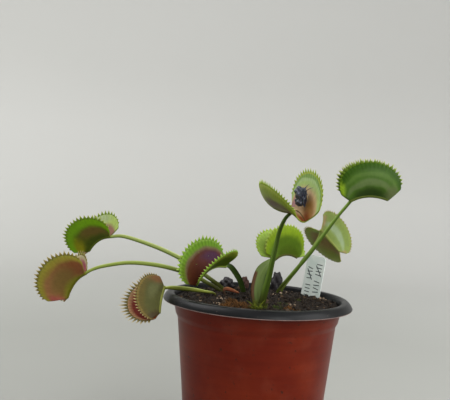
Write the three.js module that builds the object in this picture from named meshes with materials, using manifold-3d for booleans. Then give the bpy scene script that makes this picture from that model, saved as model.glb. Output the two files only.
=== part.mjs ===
// A potted Venus flytrap: eight leaves with toothed snap traps, growing from a low mound of peat
// in a two-colour nursery pot, with a plain plant label, some withered growth and an insect husk.
// Millimetres, +Z up. The origin is the centre of the pot's base and the front faces -Y.
import * as THREE from "three";
import { mergeVertices } from "three/addons/utils/BufferGeometryUtils.js";
import Module from "manifold-3d";

const wasm = await Module();
wasm.setup();

// Pot: a thin formed wall with a straight taper, a stepped collar and a lip rolled outwards
const POT_HEIGHT = 93;
const BASE = { radius: 35.5, chamfer: 0.8 };
const WAIST = { radius: 39.6, z: 41 };
const STEP = { radius: 44, z: 79.5, rise: 2.5, width: 1.3 };
const COLLAR_TOP = { radius: 46.8, z: 89.5 };
const WALL = 1;
const FLOOR = 1.3;
// The lip as radius and depth below the top: its underside out from the collar, then its top back in
const LIP_UNDER = [[48.5, 1.5], [49.8, 1.4], [51.4, 3.8]];
const LIP_OVER = [[52.5, 3.8], [51.8, 1.9], [50.7, 0.6], [49.7, 0], [47.7, 0], [46.7, 0.6]];
const DRAIN = { count: 8, radius: 3.5, circle: 24 };
const POT_SIDES = 36;

// Soil: fills the pot to a few millimetres under the lip, with a low mound at the crown
const SOIL = { edge: 88.6, mound: 2.8, x: 1, y: 18, spreadX: 32, spreadY: 22, relief: 0.45 };
const SOIL_RINGS = 7;
const CLEARANCE = 0.3;
const ROOT_DEPTH = 6;

// Traps: both lobes of one trap share these
const LOBE_THICKNESS = 0.9;
const LOBE_ROWS = [0, 0.45, 0.9];
const MIDRIB = {
  along: [-0.04, 0.2, 0.4, 0.6, 0.8, 0.98],
  halfWidths: [1, 1, 0.95, 0.85, 0.75, 0.6],
  halfThickness: 0.8,
};
const TOOTHLESS = 0.05;
const TOOTH_TAPER = { shortest: 0.45, growth: 2.5 };
const BLADE_STEPS = 2;
const TOWARDS_VIEWER = new THREE.Vector3(0, -1, 0.15);

// Each leaf: the petiole's route from the soil to the hinge, its half-widths along that route, the
// far end of the hinge, the way the trap opens, and its two lobes. A lobe leaves the hinge at the
// angle open and turns by curl on its way to the margin, in degrees. Its margin is an arc with the
// half-length half and the height rise, round a centre that lies centre above the hinge and skew
// along it. The arc starts and ends corners degrees below that centre.
const LEAVES = {
  leaf_top_left: {
    colour: 0x4c7a24,
    route: [[-20, 17, 91.5], [-30.5, 19, 98.5], [-42, 21, 105.5], [-58.5, 23, 112.5], [-75, 24, 117.5],
      [-87, 24, 120], [-94.5, 23, 119]],
    halfWidths: [1.1, 1.2, 1.3, 1.3, 1.2, 1.1, 0.9],
    halfThickness: 0.7,
    hingeEnd: [-109.5, 29, 108.5],
    opens: [-0.5, 0.18, 0.85],
    bow: 2.4,
    teeth: 21,
    tooth: 2.2,
    lobes: [
      { side: 1, open: 45, curl: -15, half: 16, rise: 13.5, centre: 7.5, skew: 2.5, corners: [20, 12] },
      { side: -1, open: 30, curl: -30, half: 18.5, rise: 12.5, centre: 6, skew: -0.5, corners: [20, 27] },
    ],
  },
  leaf_left: {
    colour: 0x7a5c3a,
    route: [[-21, 12, 91], [-31, 9, 97], [-40.5, 5, 101.5], [-56.5, 0, 105.5], [-73, -4, 106.5],
      [-87, -6, 104], [-94, -7, 101.5], [-97.5, -8, 99]],
    halfWidths: [1, 1.1, 1.2, 1.2, 1.1, 1, 0.9, 0.8],
    halfThickness: 0.7,
    hingeEnd: [-109, -2.5, 83.5],
    opens: [-0.67, 0.41, 0.62],
    bow: 2.4,
    teeth: 21,
    tooth: 2.3,
    lobes: [
      { side: 1, open: 60, curl: -20, half: 17, rise: 13, centre: 9, skew: 0.5, corners: [18, 4] },
      { side: -1, open: 36, curl: -34, half: 15, rise: 12.5, centre: 7, skew: 0.5, corners: [28, 30] },
    ],
  },
  leaf_over_rim: {
    colour: 0x6e6a3c,
    route: [[-24, 2, 91], [-29.5, -2, 92.7], [-37, -8, 94.3], [-45, -13, 95.3], [-48, -16, 95.6],
      [-50, -17, 95.5]],
    halfWidths: [0.6, 0.9, 1.2, 1.2, 0.9, 0.8],
    halfThickness: 0.6,
    hingeEnd: [-49, -31, 84.5],
    opens: [-0.94, -0.25, 0.25],
    bow: 0.5,
    teeth: 24,
    tooth: 3.6,
    lobes: [
      { side: 1, open: 30, curl: -38, half: 15, rise: 10, centre: 4.5, skew: -0.5, corners: [4, 6] },
      { side: -1, open: 34, curl: -22, half: 14, rise: 11.5, centre: 6.5, skew: -0.5, corners: [20, 25] },
    ],
  },
  leaf_low_centre: {
    colour: 0x4f5a24,
    route: [[-8, 14, 91], [-9.5, 12, 96.5], [-11.5, 8, 101], [-15, 2, 106.5], [-17.5, -3, 108.5],
      [-19, -6, 108]],
    halfWidths: [1.4, 1.5, 1.6, 1.5, 1.2, 0.9],
    halfThickness: 0.7,
    hingeEnd: [-32.5, -19, 98],
    opens: [-0.26, -0.39, 0.88],
    bow: 3.8,
    teeth: 21,
    tooth: 2.3,
    lobes: [
      { side: -1, open: 27, curl: -30, half: 15, rise: 12.5, centre: 8.5, skew: 1.5, corners: [12, 22] },
      { side: 1, open: 58, curl: -10, half: 14.5, rise: 12.5, centre: 8.5, skew: -1.5, corners: [-3, 2] },
    ],
  },
  leaf_high_centre: {
    colour: 0x5f7f2c,
    route: [[2.5, -22, 89.5], [4, -22, 98], [5.5, -22, 104.5], [7, -22, 113.5], [8.5, -21.5, 121.5],
      [10, -21, 129.5], [12.5, -21, 136], [15.5, -21, 139.5]],
    halfWidths: [1.9, 1.8, 1.6, 1.4, 1.2, 1.1, 1, 0.9],
    halfThickness: 0.7,
    hingeEnd: [21.5, -38.5, 135],
    opens: [0.02, -0.23, 0.97],
    bow: 2.6,
    teeth: 21,
    tooth: 2.1,
    lobes: [
      { side: 1, open: 25, curl: -30, half: 17.5, rise: 13, centre: 11, skew: 3.5, corners: [20, 12] },
      { side: -1, open: 92, curl: -78, half: 15.5, rise: 15, centre: 12.5, skew: -2, corners: [-45, 14] },
    ],
  },
  leaf_mid_right: {
    colour: 0x8ab030,
    route: [[1.2, -14, 89.5], [0.5, -12.5, 95.5], [1, -10, 101], [2.5, -7, 107], [6, -3.5, 111.5],
      [9.5, 0, 113.5]],
    halfWidths: [3.2, 3.9, 4.1, 3.5, 1.8, 0.9],
    halfThickness: 0.6,
    hingeEnd: [22.5, 11.5, 114],
    opens: [-0.12, 0.1, 0.99],
    bow: 2.2,
    teeth: 21,
    tooth: 1.5,
    lobes: [
      { side: -1, open: 30, curl: -28, half: 15, rise: 12.5, centre: 6.5, skew: -2, corners: [16, 19] },
      { side: 1, open: 46, curl: -32, half: 18, rise: 13, centre: 6.5, skew: -1, corners: [19, 26] },
    ],
  },
  leaf_right: {
    colour: 0x7f9a4c,
    route: [[14, 24, 91.5], [19, 23, 100], [23.5, 21.5, 106.5], [27, 19.5, 112.5], [31.5, 17.5, 119],
      [35, 15.5, 126], [36, 14, 130.5]],
    halfWidths: [0.9, 0.9, 0.9, 0.9, 0.9, 0.8, 0.8],
    halfThickness: 0.6,
    hingeEnd: [48, 19.5, 118.5],
    opens: [-0.14, 0.95, 0.28],
    bow: 2.6,
    teeth: 21,
    tooth: 1.6,
    lobes: [
      { side: -1, open: 60, curl: -27, half: 14.5, rise: 12.5, centre: 9, skew: 1, corners: [-5, 26] },
      { side: 1, open: 50, curl: -30, half: 15, rise: 11.5, centre: 9, skew: 2.5, corners: [28, 18] },
    ],
  },
  leaf_top_right: {
    colour: 0x476f22,
    route: [[11.5, 16, 91.5], [14, 15, 96], [22, 11, 107], [29.5, 8, 117.5], [37, 5, 129.5],
      [43.5, 3, 139.5], [47.5, 2, 145], [50, 1, 148.5]],
    halfWidths: [0.7, 0.9, 1.1, 1.1, 1, 0.9, 0.9, 0.9],
    halfThickness: 0.7,
    hingeEnd: [71, 1.5, 150],
    opens: [-0.08, 0.16, 0.98],
    bow: 2.5,
    teeth: 23,
    tooth: 3,
    lobes: [
      { side: -1, open: 38, curl: -55, half: 17, rise: 13.5, centre: 8.5, skew: 0.5, corners: [22, 10] },
      { side: 1, open: 38, curl: -55, half: 17, rise: 14, centre: 9, skew: 0.5, corners: [22, 10] },
    ],
  },
};

// Label: a flat plastic tag pushed into the soil by the back of the lip
const LABEL = { width: 12, height: 25, buried: 22, point: 7, thickness: 0.8, corner: 2.5 };
const LABEL_PLACE = { x: 32.3, y: 24, z: 90.4, turned: 30, leaning: 8 };

// Withered leaf at the front of the crown
const WITHERED_LEAF = {
  route: [[-17.5, 2.5, 89.5], [-19, 3.5, 92.3], [-18.3, 4, 94.2], [-15, 4.5, 93.7], [-10.5, 5, 92.2]],
  halfWidths: [0.6, 0.8, 1, 1.1, 0.5],
  halfThickness: 0.5,
};

// Crumpled dry pieces standing in the soil behind the crown
const LUMPS = {
  withered_trap_left: { at: [-18.7, 25, 94.2], radii: [3.8, 3, 4.2], seed: 3, colour: 0x1d1a1e },
  withered_trap_right: { at: [12, 31, 96.3], radii: [3.4, 3, 6.5], seed: 8, colour: 0x1f1b1b },
  bark_chip: { at: [-8.2, 26, 94.8], radii: [2.9, 2.4, 4.6], seed: 5, colour: 0x3b2a25 },
};
const CRUMPLE = 0.16;

// Insect husk held in the trap of the high centre leaf, against the inside of its right lobe
const HUSK = {
  leaf: "leaf_high_centre",
  lobe: 0,
  along: 0.6,
  up: 0.42,
  seed: 2,
  segments: [
    { inwards: 2.9, upwards: 0.2, radii: [1.5, 2, 4.6] },
    { inwards: 6, upwards: 1.7, radii: [2.1, 2.3, 3.1] },
    { inwards: 3.8, upwards: -2.9, radii: [2.4, 2.3, 2.3] },
  ],
  colour: 0x23252f,
};

const degrees = THREE.MathUtils.degToRad;
const vector = (p) => new THREE.Vector3(...p);

// A closed geometry as a solid that can be joined and cut
function solid(geometry) {
  const loose = geometry.index ? geometry.toNonIndexed() : geometry;
  const bare = new THREE.BufferGeometry().setAttribute("position", loose.getAttribute("position"));
  const merged = mergeVertices(bare, 1e-4);
  const corners = merged.index.array;
  const triangles = [];
  for (let i = 0; i < corners.length; i += 3) {
    const [a, b, c] = [corners[i], corners[i + 1], corners[i + 2]];
    if (a !== b && b !== c && c !== a) triangles.push(a, b, c);
  }
  return new wasm.Manifold(
    new wasm.Mesh({
      numProp: 3,
      vertProperties: merged.attributes.position.array,
      triVerts: new Uint32Array(triangles),
    }),
  );
}

// A named mesh of a solid in a plain material
function meshOf(name, made, colour, roughness = 0.6) {
  const { vertProperties, triVerts } = made.getMesh();
  const geometry = new THREE.BufferGeometry();
  geometry.setAttribute("position", new THREE.Float32BufferAttribute(vertProperties, 3));
  geometry.setIndex(Array.from(triVerts));
  geometry.computeVertexNormals();
  const material = new THREE.MeshStandardMaterial({ color: colour, roughness, flatShading: true });
  const mesh = new THREE.Mesh(geometry, material);
  mesh.name = name;
  return mesh;
}

// A closed geometry from points and the corners of its triangles
function faceted(points, triangles) {
  const geometry = new THREE.BufferGeometry().setFromPoints(points);
  geometry.setIndex(triangles.flat());
  return geometry;
}

// A solid from a closed skin, turned so that it faces outwards
function closed(points, triangles) {
  const made = solid(faceted(points, triangles));
  return made.volume() < 0 ? solid(faceted(points, triangles.map(([a, b, c]) => [a, c, b]))) : made;
}

// A value between -1 and 1 that depends only on its arguments
function scatter(a, b) {
  const s = Math.sin(a * 12.9898 + b * 78.233) * 43758.5453;
  return 2 * (s - Math.floor(s)) - 1;
}

// The value at t, from 0 to 1, of a list of evenly spaced values
function along(values, t) {
  const s = Math.min(t, 1) * (values.length - 1);
  const i = Math.min(Math.floor(s), values.length - 2);
  return THREE.MathUtils.lerp(values[i], values[i + 1], s - i);
}

// A closed blade along a route, with an eight-sided section that is wide across the face
const BLADE_SECTION = [[1, 0.35], [0.4, 0.85], [-0.4, 0.85], [-1, 0.35], [-1, -0.35], [-0.4, -0.85],
  [0.4, -0.85], [1, -0.35]];

function blade(route, halfWidths, halfThickness, face = TOWARDS_VIEWER, stepsEach = BLADE_STEPS) {
  const curve = new THREE.CatmullRomCurve3(route, false, "catmullrom", 0.5);
  const steps = (route.length - 1) * stepsEach;
  const sides = BLADE_SECTION.length;
  const points = [];
  for (let i = 0; i <= steps; i++) {
    const t = i / steps;
    const centre = curve.getPoint(t);
    const tangent = curve.getTangent(t);
    const across = new THREE.Vector3().crossVectors(tangent, face).normalize();
    const normal = new THREE.Vector3().crossVectors(across, tangent).normalize();
    const halfWidth = along(halfWidths, t);
    for (const [w, h] of BLADE_SECTION) {
      const point = centre.clone().addScaledVector(across, w * halfWidth);
      points.push(point.addScaledVector(normal, h * halfThickness));
    }
  }
  const triangles = [];
  for (let i = 0; i < steps; i++) {
    for (let j = 0; j < sides; j++) {
      const a = i * sides + j;
      const b = i * sides + ((j + 1) % sides);
      triangles.push([a, b, b + sides], [a, b + sides, a + sides]);
    }
  }
  const last = steps * sides;
  for (let j = 1; j < sides - 1; j++) {
    triangles.push([0, j + 1, j], [last, last + j, last + j + 1]);
  }
  return closed(points, triangles);
}

// The frame of a trap's hinge: its start, its direction, the way it opens and the way across
function hingeOf(leaf) {
  const start = vector(leaf.route.at(-1));
  const end = vector(leaf.hingeEnd);
  const length = start.distanceTo(end);
  const x = end.clone().sub(start).normalize();
  const opens = vector(leaf.opens);
  const z = opens.addScaledVector(x, -opens.dot(x)).normalize();
  const y = new THREE.Vector3().crossVectors(z, x);
  return { start, length, x, y, z, bow: leaf.bow };
}

function hingePoint(hinge, u) {
  const point = hinge.start.clone().addScaledVector(hinge.x, hinge.length * u);
  return point.addScaledVector(hinge.z, hinge.bow * (1 - (2 * u - 1) ** 2));
}

// A point of a lobe's middle surface: u runs along the hinge and v from the hinge to the margin
function lobePoint(hinge, lobe, u, v) {
  const from = degrees(180 + lobe.corners[0]);
  const to = degrees(-lobe.corners[1]);
  const turn = from + (to - from) * u;
  const marginX = hinge.length / 2 + lobe.skew + lobe.half * Math.cos(turn);
  const marginZ = lobe.centre + lobe.rise * Math.sin(turn);
  const rootX = hinge.length * u;
  const rootZ = hinge.bow * (1 - (2 * u - 1) ** 2);
  const open = degrees(lobe.open);
  const curl = degrees(lobe.curl);
  const here = open + curl * v;
  const sideways = (Math.cos(open) - Math.cos(here)) / curl;
  const upwards = (Math.sin(here) - Math.sin(open)) / curl;
  const reach = marginZ - rootZ;
  return hinge.start
    .clone()
    .addScaledVector(hinge.x, rootX + (marginX - rootX) * v)
    .addScaledVector(hinge.y, lobe.side * reach * sideways)
    .addScaledVector(hinge.z, rootZ + reach * upwards);
}

// The unit normal there, on the same side for the whole lobe
function lobeNormal(hinge, lobe, u, v) {
  const d = 0.01;
  const du = lobePoint(hinge, lobe, u + d, v).sub(lobePoint(hinge, lobe, u - d, v));
  const dv = lobePoint(hinge, lobe, u, v + d).sub(lobePoint(hinge, lobe, u, Math.max(v - d, 0)));
  return du.cross(dv).normalize();
}

// One lobe: a thin closed shell whose margin carries a row of pointed teeth
function lobeSolid(leaf, hinge, lobe) {
  const columns = [0];
  for (let k = 0; k <= leaf.teeth; k++) {
    columns.push(TOOTHLESS + (1 - 2 * TOOTHLESS) * (k / leaf.teeth));
  }
  columns.push(1);
  const rows = [...LOBE_ROWS, 1];
  const count = columns.length;
  const faceSize = rows.length * count;
  const points = [];
  for (const sign of [1, -1]) {
    for (const v of rows) {
      for (const u of columns) {
        const normal = lobeNormal(hinge, lobe, u, v);
        points.push(lobePoint(hinge, lobe, u, v).addScaledVector(normal, (sign * LOBE_THICKNESS) / 2));
      }
    }
  }
  const tipOf = (k) => 2 * faceSize + k - 1;
  for (let k = 1; k <= leaf.teeth; k++) {
    const u = (columns[k] + columns[k + 1]) / 2;
    const margin = lobePoint(hinge, lobe, u, 1);
    const edge = lobePoint(hinge, lobe, u + 0.01, 1).sub(lobePoint(hinge, lobe, u - 0.01, 1)).normalize();
    const out = margin.clone().sub(lobePoint(hinge, lobe, u, 0.97));
    out.addScaledVector(edge, -out.dot(edge)).normalize();
    const fromEnd = Math.min(k - 0.5, leaf.teeth - k + 0.5) / leaf.teeth;
    const grown = Math.min(1, TOOTH_TAPER.shortest + TOOTH_TAPER.growth * fromEnd);
    points.push(margin.addScaledVector(out, leaf.tooth * grown));
  }
  const at = (back, row, column) => back * faceSize + row * count + column;
  const triangles = [];
  for (let row = 0; row < rows.length - 1; row++) {
    for (let c = 0; c < count - 1; c++) {
      for (const back of [0, 1]) {
        const [a, b] = [at(back, row, c), at(back, row, c + 1)];
        const [d, e] = [at(back, row + 1, c), at(back, row + 1, c + 1)];
        const toothed = row === rows.length - 2 && c > 0 && c < count - 2;
        const cell = toothed ? [[a, b, tipOf(c)], [a, tipOf(c), d], [b, e, tipOf(c)]] : [[a, b, e], [a, e, d]];
        triangles.push(...cell.map(([p, q, r]) => (back ? [p, r, q] : [p, q, r])));
      }
    }
  }
  for (let c = 0; c < count - 1; c++) {
    const last = rows.length - 1;
    const [f, g, h, i] = [at(0, 0, c + 1), at(0, 0, c), at(1, 0, c), at(1, 0, c + 1)];
    triangles.push([f, g, h], [f, h, i]);
    const [a, b, d, e] = [at(0, last, c), at(0, last, c + 1), at(1, last, c), at(1, last, c + 1)];
    if (c > 0 && c < count - 2) triangles.push([a, tipOf(c), d], [tipOf(c), b, e]);
    else triangles.push([a, b, e], [a, e, d]);
  }
  for (let row = 0; row < rows.length - 1; row++) {
    const [a, b, d, e] = [at(0, row, 0), at(0, row + 1, 0), at(1, row, 0), at(1, row + 1, 0)];
    triangles.push([a, b, e], [a, e, d]);
    const [f, g] = [at(0, row, count - 1), at(0, row + 1, count - 1)];
    const [h, i] = [at(1, row, count - 1), at(1, row + 1, count - 1)];
    triangles.push([g, f, h], [g, h, i]);
  }
  return closed(points, triangles);
}

// The petiole with its foot in the soil, made wider and thicker by grown
function petiole(leaf, grown = 0) {
  const route = leaf.route.map(vector);
  const foot = route[0].clone();
  foot.z -= ROOT_DEPTH + grown;
  const halfWidths = [leaf.halfWidths[0], ...leaf.halfWidths].map((w) => w + grown);
  return blade([foot, ...route], halfWidths, leaf.halfThickness + grown);
}

function leafSolid(leaf) {
  const hinge = hingeOf(leaf);
  const ribRoute = MIDRIB.along.map((u) => hingePoint(hinge, u));
  const rib = blade(ribRoute, MIDRIB.halfWidths, MIDRIB.halfThickness, hinge.z, 1);
  let made = petiole(leaf).add(rib);
  for (const lobe of leaf.lobes) made = made.add(lobeSolid(leaf, hinge, lobe));
  return made;
}

// The pot's wall from the base up: outside, over the lip and down the inside
function potSolid() {
  const lip = [...LIP_UNDER, ...LIP_OVER].map(([radius, depth]) => [radius, POT_HEIGHT - depth]);
  const profile = [
    [0, 0],
    [BASE.radius - BASE.chamfer, 0],
    [BASE.radius, BASE.chamfer],
    [WAIST.radius, WAIST.z],
    [STEP.radius, STEP.z],
    [STEP.radius + STEP.width, STEP.z + STEP.rise],
    [COLLAR_TOP.radius, COLLAR_TOP.z],
    ...lip,
    ...insideOfPot().reverse(),
    [0, FLOOR],
  ];
  const outline = profile.map(([r, z]) => new THREE.Vector2(r, z));
  let made = solid(new THREE.LatheGeometry(outline, POT_SIDES).rotateX(Math.PI / 2));
  if (made.volume() < 0) throw new Error("the pot's profile runs the wrong way");
  for (let i = 0; i < DRAIN.count; i++) {
    const angle = ((i + 0.5) / DRAIN.count) * 2 * Math.PI;
    const hole = new THREE.CylinderGeometry(DRAIN.radius, DRAIN.radius, 4 * FLOOR, 12).rotateX(Math.PI / 2);
    hole.translate(DRAIN.circle * Math.cos(angle), DRAIN.circle * Math.sin(angle), 0);
    made = made.subtract(solid(hole));
  }
  return made;
}

// The inside of the wall, as radius and height, from the floor to the lip
function insideOfPot() {
  return [
    [BASE.radius - WALL - 0.4, FLOOR],
    [WAIST.radius - WALL, WAIST.z],
    [STEP.radius - WALL, STEP.z + 0.4],
    [STEP.radius + STEP.width - WALL, STEP.z + STEP.rise + 0.4],
    [COLLAR_TOP.radius - WALL, COLLAR_TOP.z + 0.3],
  ];
}

function soilHeight(x, y) {
  const far = ((x - SOIL.x) / SOIL.spreadX) ** 2 + ((y - SOIL.y) / SOIL.spreadY) ** 2;
  const waves = Math.sin(0.42 * x + 0.9) * Math.sin(0.37 * y + 0.4) + 0.6 * Math.sin(0.81 * x - 0.66 * y);
  return SOIL.edge + SOIL.mound * Math.exp(-far / 2) + SOIL.relief * waves;
}

// The soil with its uneven top: rings of points from the middle out, then down the wall to the floor
function soilBlock() {
  const wall = insideOfPot();
  const points = [];
  const ring = (radius, height) => {
    for (let i = 0; i < POT_SIDES; i++) {
      const angle = (i / POT_SIDES) * 2 * Math.PI;
      const [x, y] = [radius * Math.cos(angle), radius * Math.sin(angle)];
      points.push(new THREE.Vector3(x, y, height ?? soilHeight(x, y) + SOIL.relief * scatter(x, y)));
    }
  };
  const topRadius = wall.at(-1)[0] - CLEARANCE - 0.2;
  for (let k = 1; k <= SOIL_RINGS; k++) ring((topRadius * k) / SOIL_RINGS);
  for (const [radius, height] of wall.slice(0, -1).reverse()) {
    ring(radius - CLEARANCE, height + (height === FLOOR ? CLEARANCE : 0));
  }
  const rings = points.length / POT_SIDES;
  const top = points.push(new THREE.Vector3(0, 0, soilHeight(0, 0))) - 1;
  const bottom = points.push(new THREE.Vector3(0, 0, FLOOR + CLEARANCE)) - 1;
  const triangles = [];
  for (let i = 0; i < POT_SIDES; i++) {
    const next = (i + 1) % POT_SIDES;
    triangles.push([top, i, next]);
    for (let k = 0; k < rings - 1; k++) {
      const [a, b] = [k * POT_SIDES + i, k * POT_SIDES + next];
      triangles.push([a, a + POT_SIDES, b + POT_SIDES], [a, b + POT_SIDES, b]);
    }
    triangles.push([bottom, (rings - 1) * POT_SIDES + next, (rings - 1) * POT_SIDES + i]);
  }
  return solid(faceted(points, triangles));
}

// The label: a tag with rounded upper corners and a pointed foot, made larger all round by grown
function labelSolid(grown = 0) {
  const half = LABEL.width / 2 + grown;
  const top = LABEL.height + grown;
  const foot = -LABEL.buried - grown;
  const outline = new THREE.Shape();
  outline.moveTo(-half, foot + LABEL.point);
  outline.lineTo(0, foot);
  outline.lineTo(half, foot + LABEL.point);
  outline.lineTo(half, top - LABEL.corner);
  outline.quadraticCurveTo(half, top, half - LABEL.corner, top);
  outline.lineTo(LABEL.corner - half, top);
  outline.quadraticCurveTo(-half, top, -half, top - LABEL.corner);
  outline.closePath();
  const depth = LABEL.thickness + 2 * grown;
  const tag = new THREE.ExtrudeGeometry(outline, { depth, bevelEnabled: false, curveSegments: 4 });
  tag.translate(0, 0, -depth / 2).rotateZ(degrees(-LABEL_PLACE.leaning));
  tag.rotateX(Math.PI / 2).rotateZ(degrees(-LABEL_PLACE.turned));
  tag.translate(LABEL_PLACE.x, LABEL_PLACE.y, LABEL_PLACE.z);
  return solid(tag);
}

// A crumpled lump: a ball pushed in and out, made larger all round by grown
function lumpSolid({ at, radii, seed, detail = 2 }, grown = 0) {
  const ball = new THREE.IcosahedronGeometry(1, detail);
  const position = ball.getAttribute("position");
  const point = new THREE.Vector3();
  for (let i = 0; i < position.count; i++) {
    point.fromBufferAttribute(position, i);
    const folds = Math.sin(5 * point.x + seed) * Math.sin(6 * point.z - seed);
    const size = 1 + CRUMPLE * (folds + 0.6 * Math.sin(9 * point.y + seed));
    const [x, y, z] = radii.map((r) => r * size + grown);
    position.setXYZ(i, at[0] + x * point.x, at[1] + y * point.y, at[2] + z * point.z);
  }
  return solid(ball);
}

// The husk: crumpled segments joined into one, resting against the inside of the lobe
function huskSolid() {
  const leaf = LEAVES[HUSK.leaf];
  const hinge = hingeOf(leaf);
  const lobe = leaf.lobes[HUSK.lobe];
  const seat = lobePoint(hinge, lobe, HUSK.along, HUSK.up);
  const inwards = lobeNormal(hinge, lobe, HUSK.along, HUSK.up);
  if (inwards.dot(hinge.y) * lobe.side > 0) inwards.negate();
  const upwards = lobePoint(hinge, lobe, HUSK.along, HUSK.up + 0.1).sub(seat).normalize();
  let made;
  for (const segment of HUSK.segments) {
    const at = seat.clone().addScaledVector(inwards, segment.inwards);
    at.addScaledVector(upwards, segment.upwards);
    const lump = lumpSolid({ at: at.toArray(), radii: segment.radii, seed: HUSK.seed, detail: 1 });
    made = made ? made.add(lump) : lump;
  }
  return made;
}

const plant = new THREE.Group();
plant.add(meshOf("pot", potSolid(), 0x6e2b1c, 0.45));

let soil = soilBlock();
for (const leaf of Object.values(LEAVES)) soil = soil.subtract(petiole(leaf, CLEARANCE));
soil = soil.subtract(petiole(WITHERED_LEAF, CLEARANCE)).subtract(labelSolid(CLEARANCE));
for (const lump of Object.values(LUMPS)) soil = soil.subtract(lumpSolid(lump, CLEARANCE));
plant.add(meshOf("soil", soil, 0x2a1f1c, 0.95));

for (const [name, leaf] of Object.entries(LEAVES)) {
  plant.add(meshOf(name, leafSolid(leaf), leaf.colour));
}
plant.add(meshOf("withered_leaf", petiole(WITHERED_LEAF), 0x7a3d24, 0.8));
for (const [name, lump] of Object.entries(LUMPS)) {
  plant.add(meshOf(name, lumpSolid(lump), lump.colour, 0.9));
}
plant.add(meshOf("plant_label", labelSolid(), 0xd9dedb, 0.4));
plant.add(meshOf("insect_husk", huskSolid(), HUSK.colour, 0.5));

export default plant;
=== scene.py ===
import math

import bmesh
import bpy
import numpy as np
from mathutils import Matrix, Vector, noise


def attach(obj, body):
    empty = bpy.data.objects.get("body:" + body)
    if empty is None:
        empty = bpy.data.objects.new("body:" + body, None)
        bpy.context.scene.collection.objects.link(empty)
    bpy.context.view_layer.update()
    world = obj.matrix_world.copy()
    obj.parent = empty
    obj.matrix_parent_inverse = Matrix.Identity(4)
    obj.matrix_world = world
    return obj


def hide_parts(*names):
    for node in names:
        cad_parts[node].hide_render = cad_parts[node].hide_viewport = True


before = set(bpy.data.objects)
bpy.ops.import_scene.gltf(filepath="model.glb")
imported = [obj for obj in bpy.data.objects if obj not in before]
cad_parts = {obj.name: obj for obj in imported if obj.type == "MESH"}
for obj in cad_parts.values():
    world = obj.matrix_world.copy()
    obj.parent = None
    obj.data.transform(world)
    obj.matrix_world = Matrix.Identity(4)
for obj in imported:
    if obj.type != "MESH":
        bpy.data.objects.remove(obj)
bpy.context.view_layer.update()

bl_info = {
    "name": "Potted Venus flytrap",
    "version": (1, 0, 0),
    "blender": (4, 5, 0),
    "location": "View3D > Sidebar > Flytrap",
    "description": "Dresses a potted Venus flytrap: pot, soil, leaves, plant label and a plain studio",
    "category": "Object",
}

# Lengths are in millimetres in the tables and functions below, and a mesh is made in metres
MM = 0.001
PER_SQUARE_CM = 1e4
BODY = "root"

# A Mix node that mixes colours, its two colour inputs, and the object's own place on Texture Coordinate
BLEND = {"output": 2, "data_type": "RGBA"}
MIX_A, MIX_B = 6, 7
OBJECT = 3

# Settings that several nodes share
SMOOTH = {"interpolation_type": "SMOOTHSTEP"}
NUMBER = {"data_type": "FLOAT"}
VECTOR = {"data_type": "FLOAT_VECTOR"}

# How much of each colour code's red, green and blue a leaf's skin keeps
SKIN_SHARE = (0.95, 0.9, 0.78)


# Colours

def linear(code):
    """A linear colour, with alpha, from an sRGB hex code such as #6b2414."""
    values = [int(code[i:i + 2], 16) / 255 for i in (1, 3, 5)]
    return tuple(c / 12.92 if c <= 0.04045 else ((c + 0.055) / 1.055) ** 2.4 for c in values) + (1.0,)


def skin(code):
    """A leaf's colour. The pale studio lifts and cools it, so the skin itself is deeper than it looks."""
    return tuple(c * share for c, share in zip(linear(code), (*SKIN_SHARE, 1)))


def rim(colour, start, end=1.0, strength=1.0):
    """A coat that grows from start to end, as shares of the way from the hinge to the margin."""
    return {"kind": "rim", "colour": colour, "start": start, "end": end, "strength": strength}


def patch(colour, u, v, width, height, strength=1.0):
    """A soft round coat: u runs along the hinge and v from the hinge to the margin, both 0 to 1."""
    return {"kind": "patch", "colour": colour, "centre": (u, v), "reach": (width, height),
            "strength": strength}


def lobe(side, opens, curl, half, rise, centre, skew, corners, teeth_lean=0, teeth_share=1.0):
    """A lobe, as in the solids: its opening angle and its curl, then the arc of its margin.

    The arc has the half-length half and the height rise round a centre that lies centre above the
    hinge and skew along it, and it starts and ends corners degrees below that centre. Its teeth lean
    inwards by teeth_lean degrees and have the share teeth_share of the leaf's usual length."""
    return {"side": side, "open": opens, "curl": curl, "half": half, "rise": rise, "centre": centre,
            "skew": skew, "corners": corners, "teeth_lean": teeth_lean, "teeth_share": teeth_share}


# Leaves, with the same routes and traps as the solids. A petiole's fullness is how much wider it is than
# its solid. Its colours are its middle, its left edge, its right edge and its foot. Its edges are partly
# painted light and painted shade, lighter on the side the light falls on. A tooth's are its foot and its
# tip, which is paler with painted light shining through it. The outer and inner faces have a colour each,
# and coats over it. The coats are partly the leaf's own colours and partly painted light and shade: bands
# over the lobes' swells, and lighter rims where light shines through the thin margin.

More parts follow.
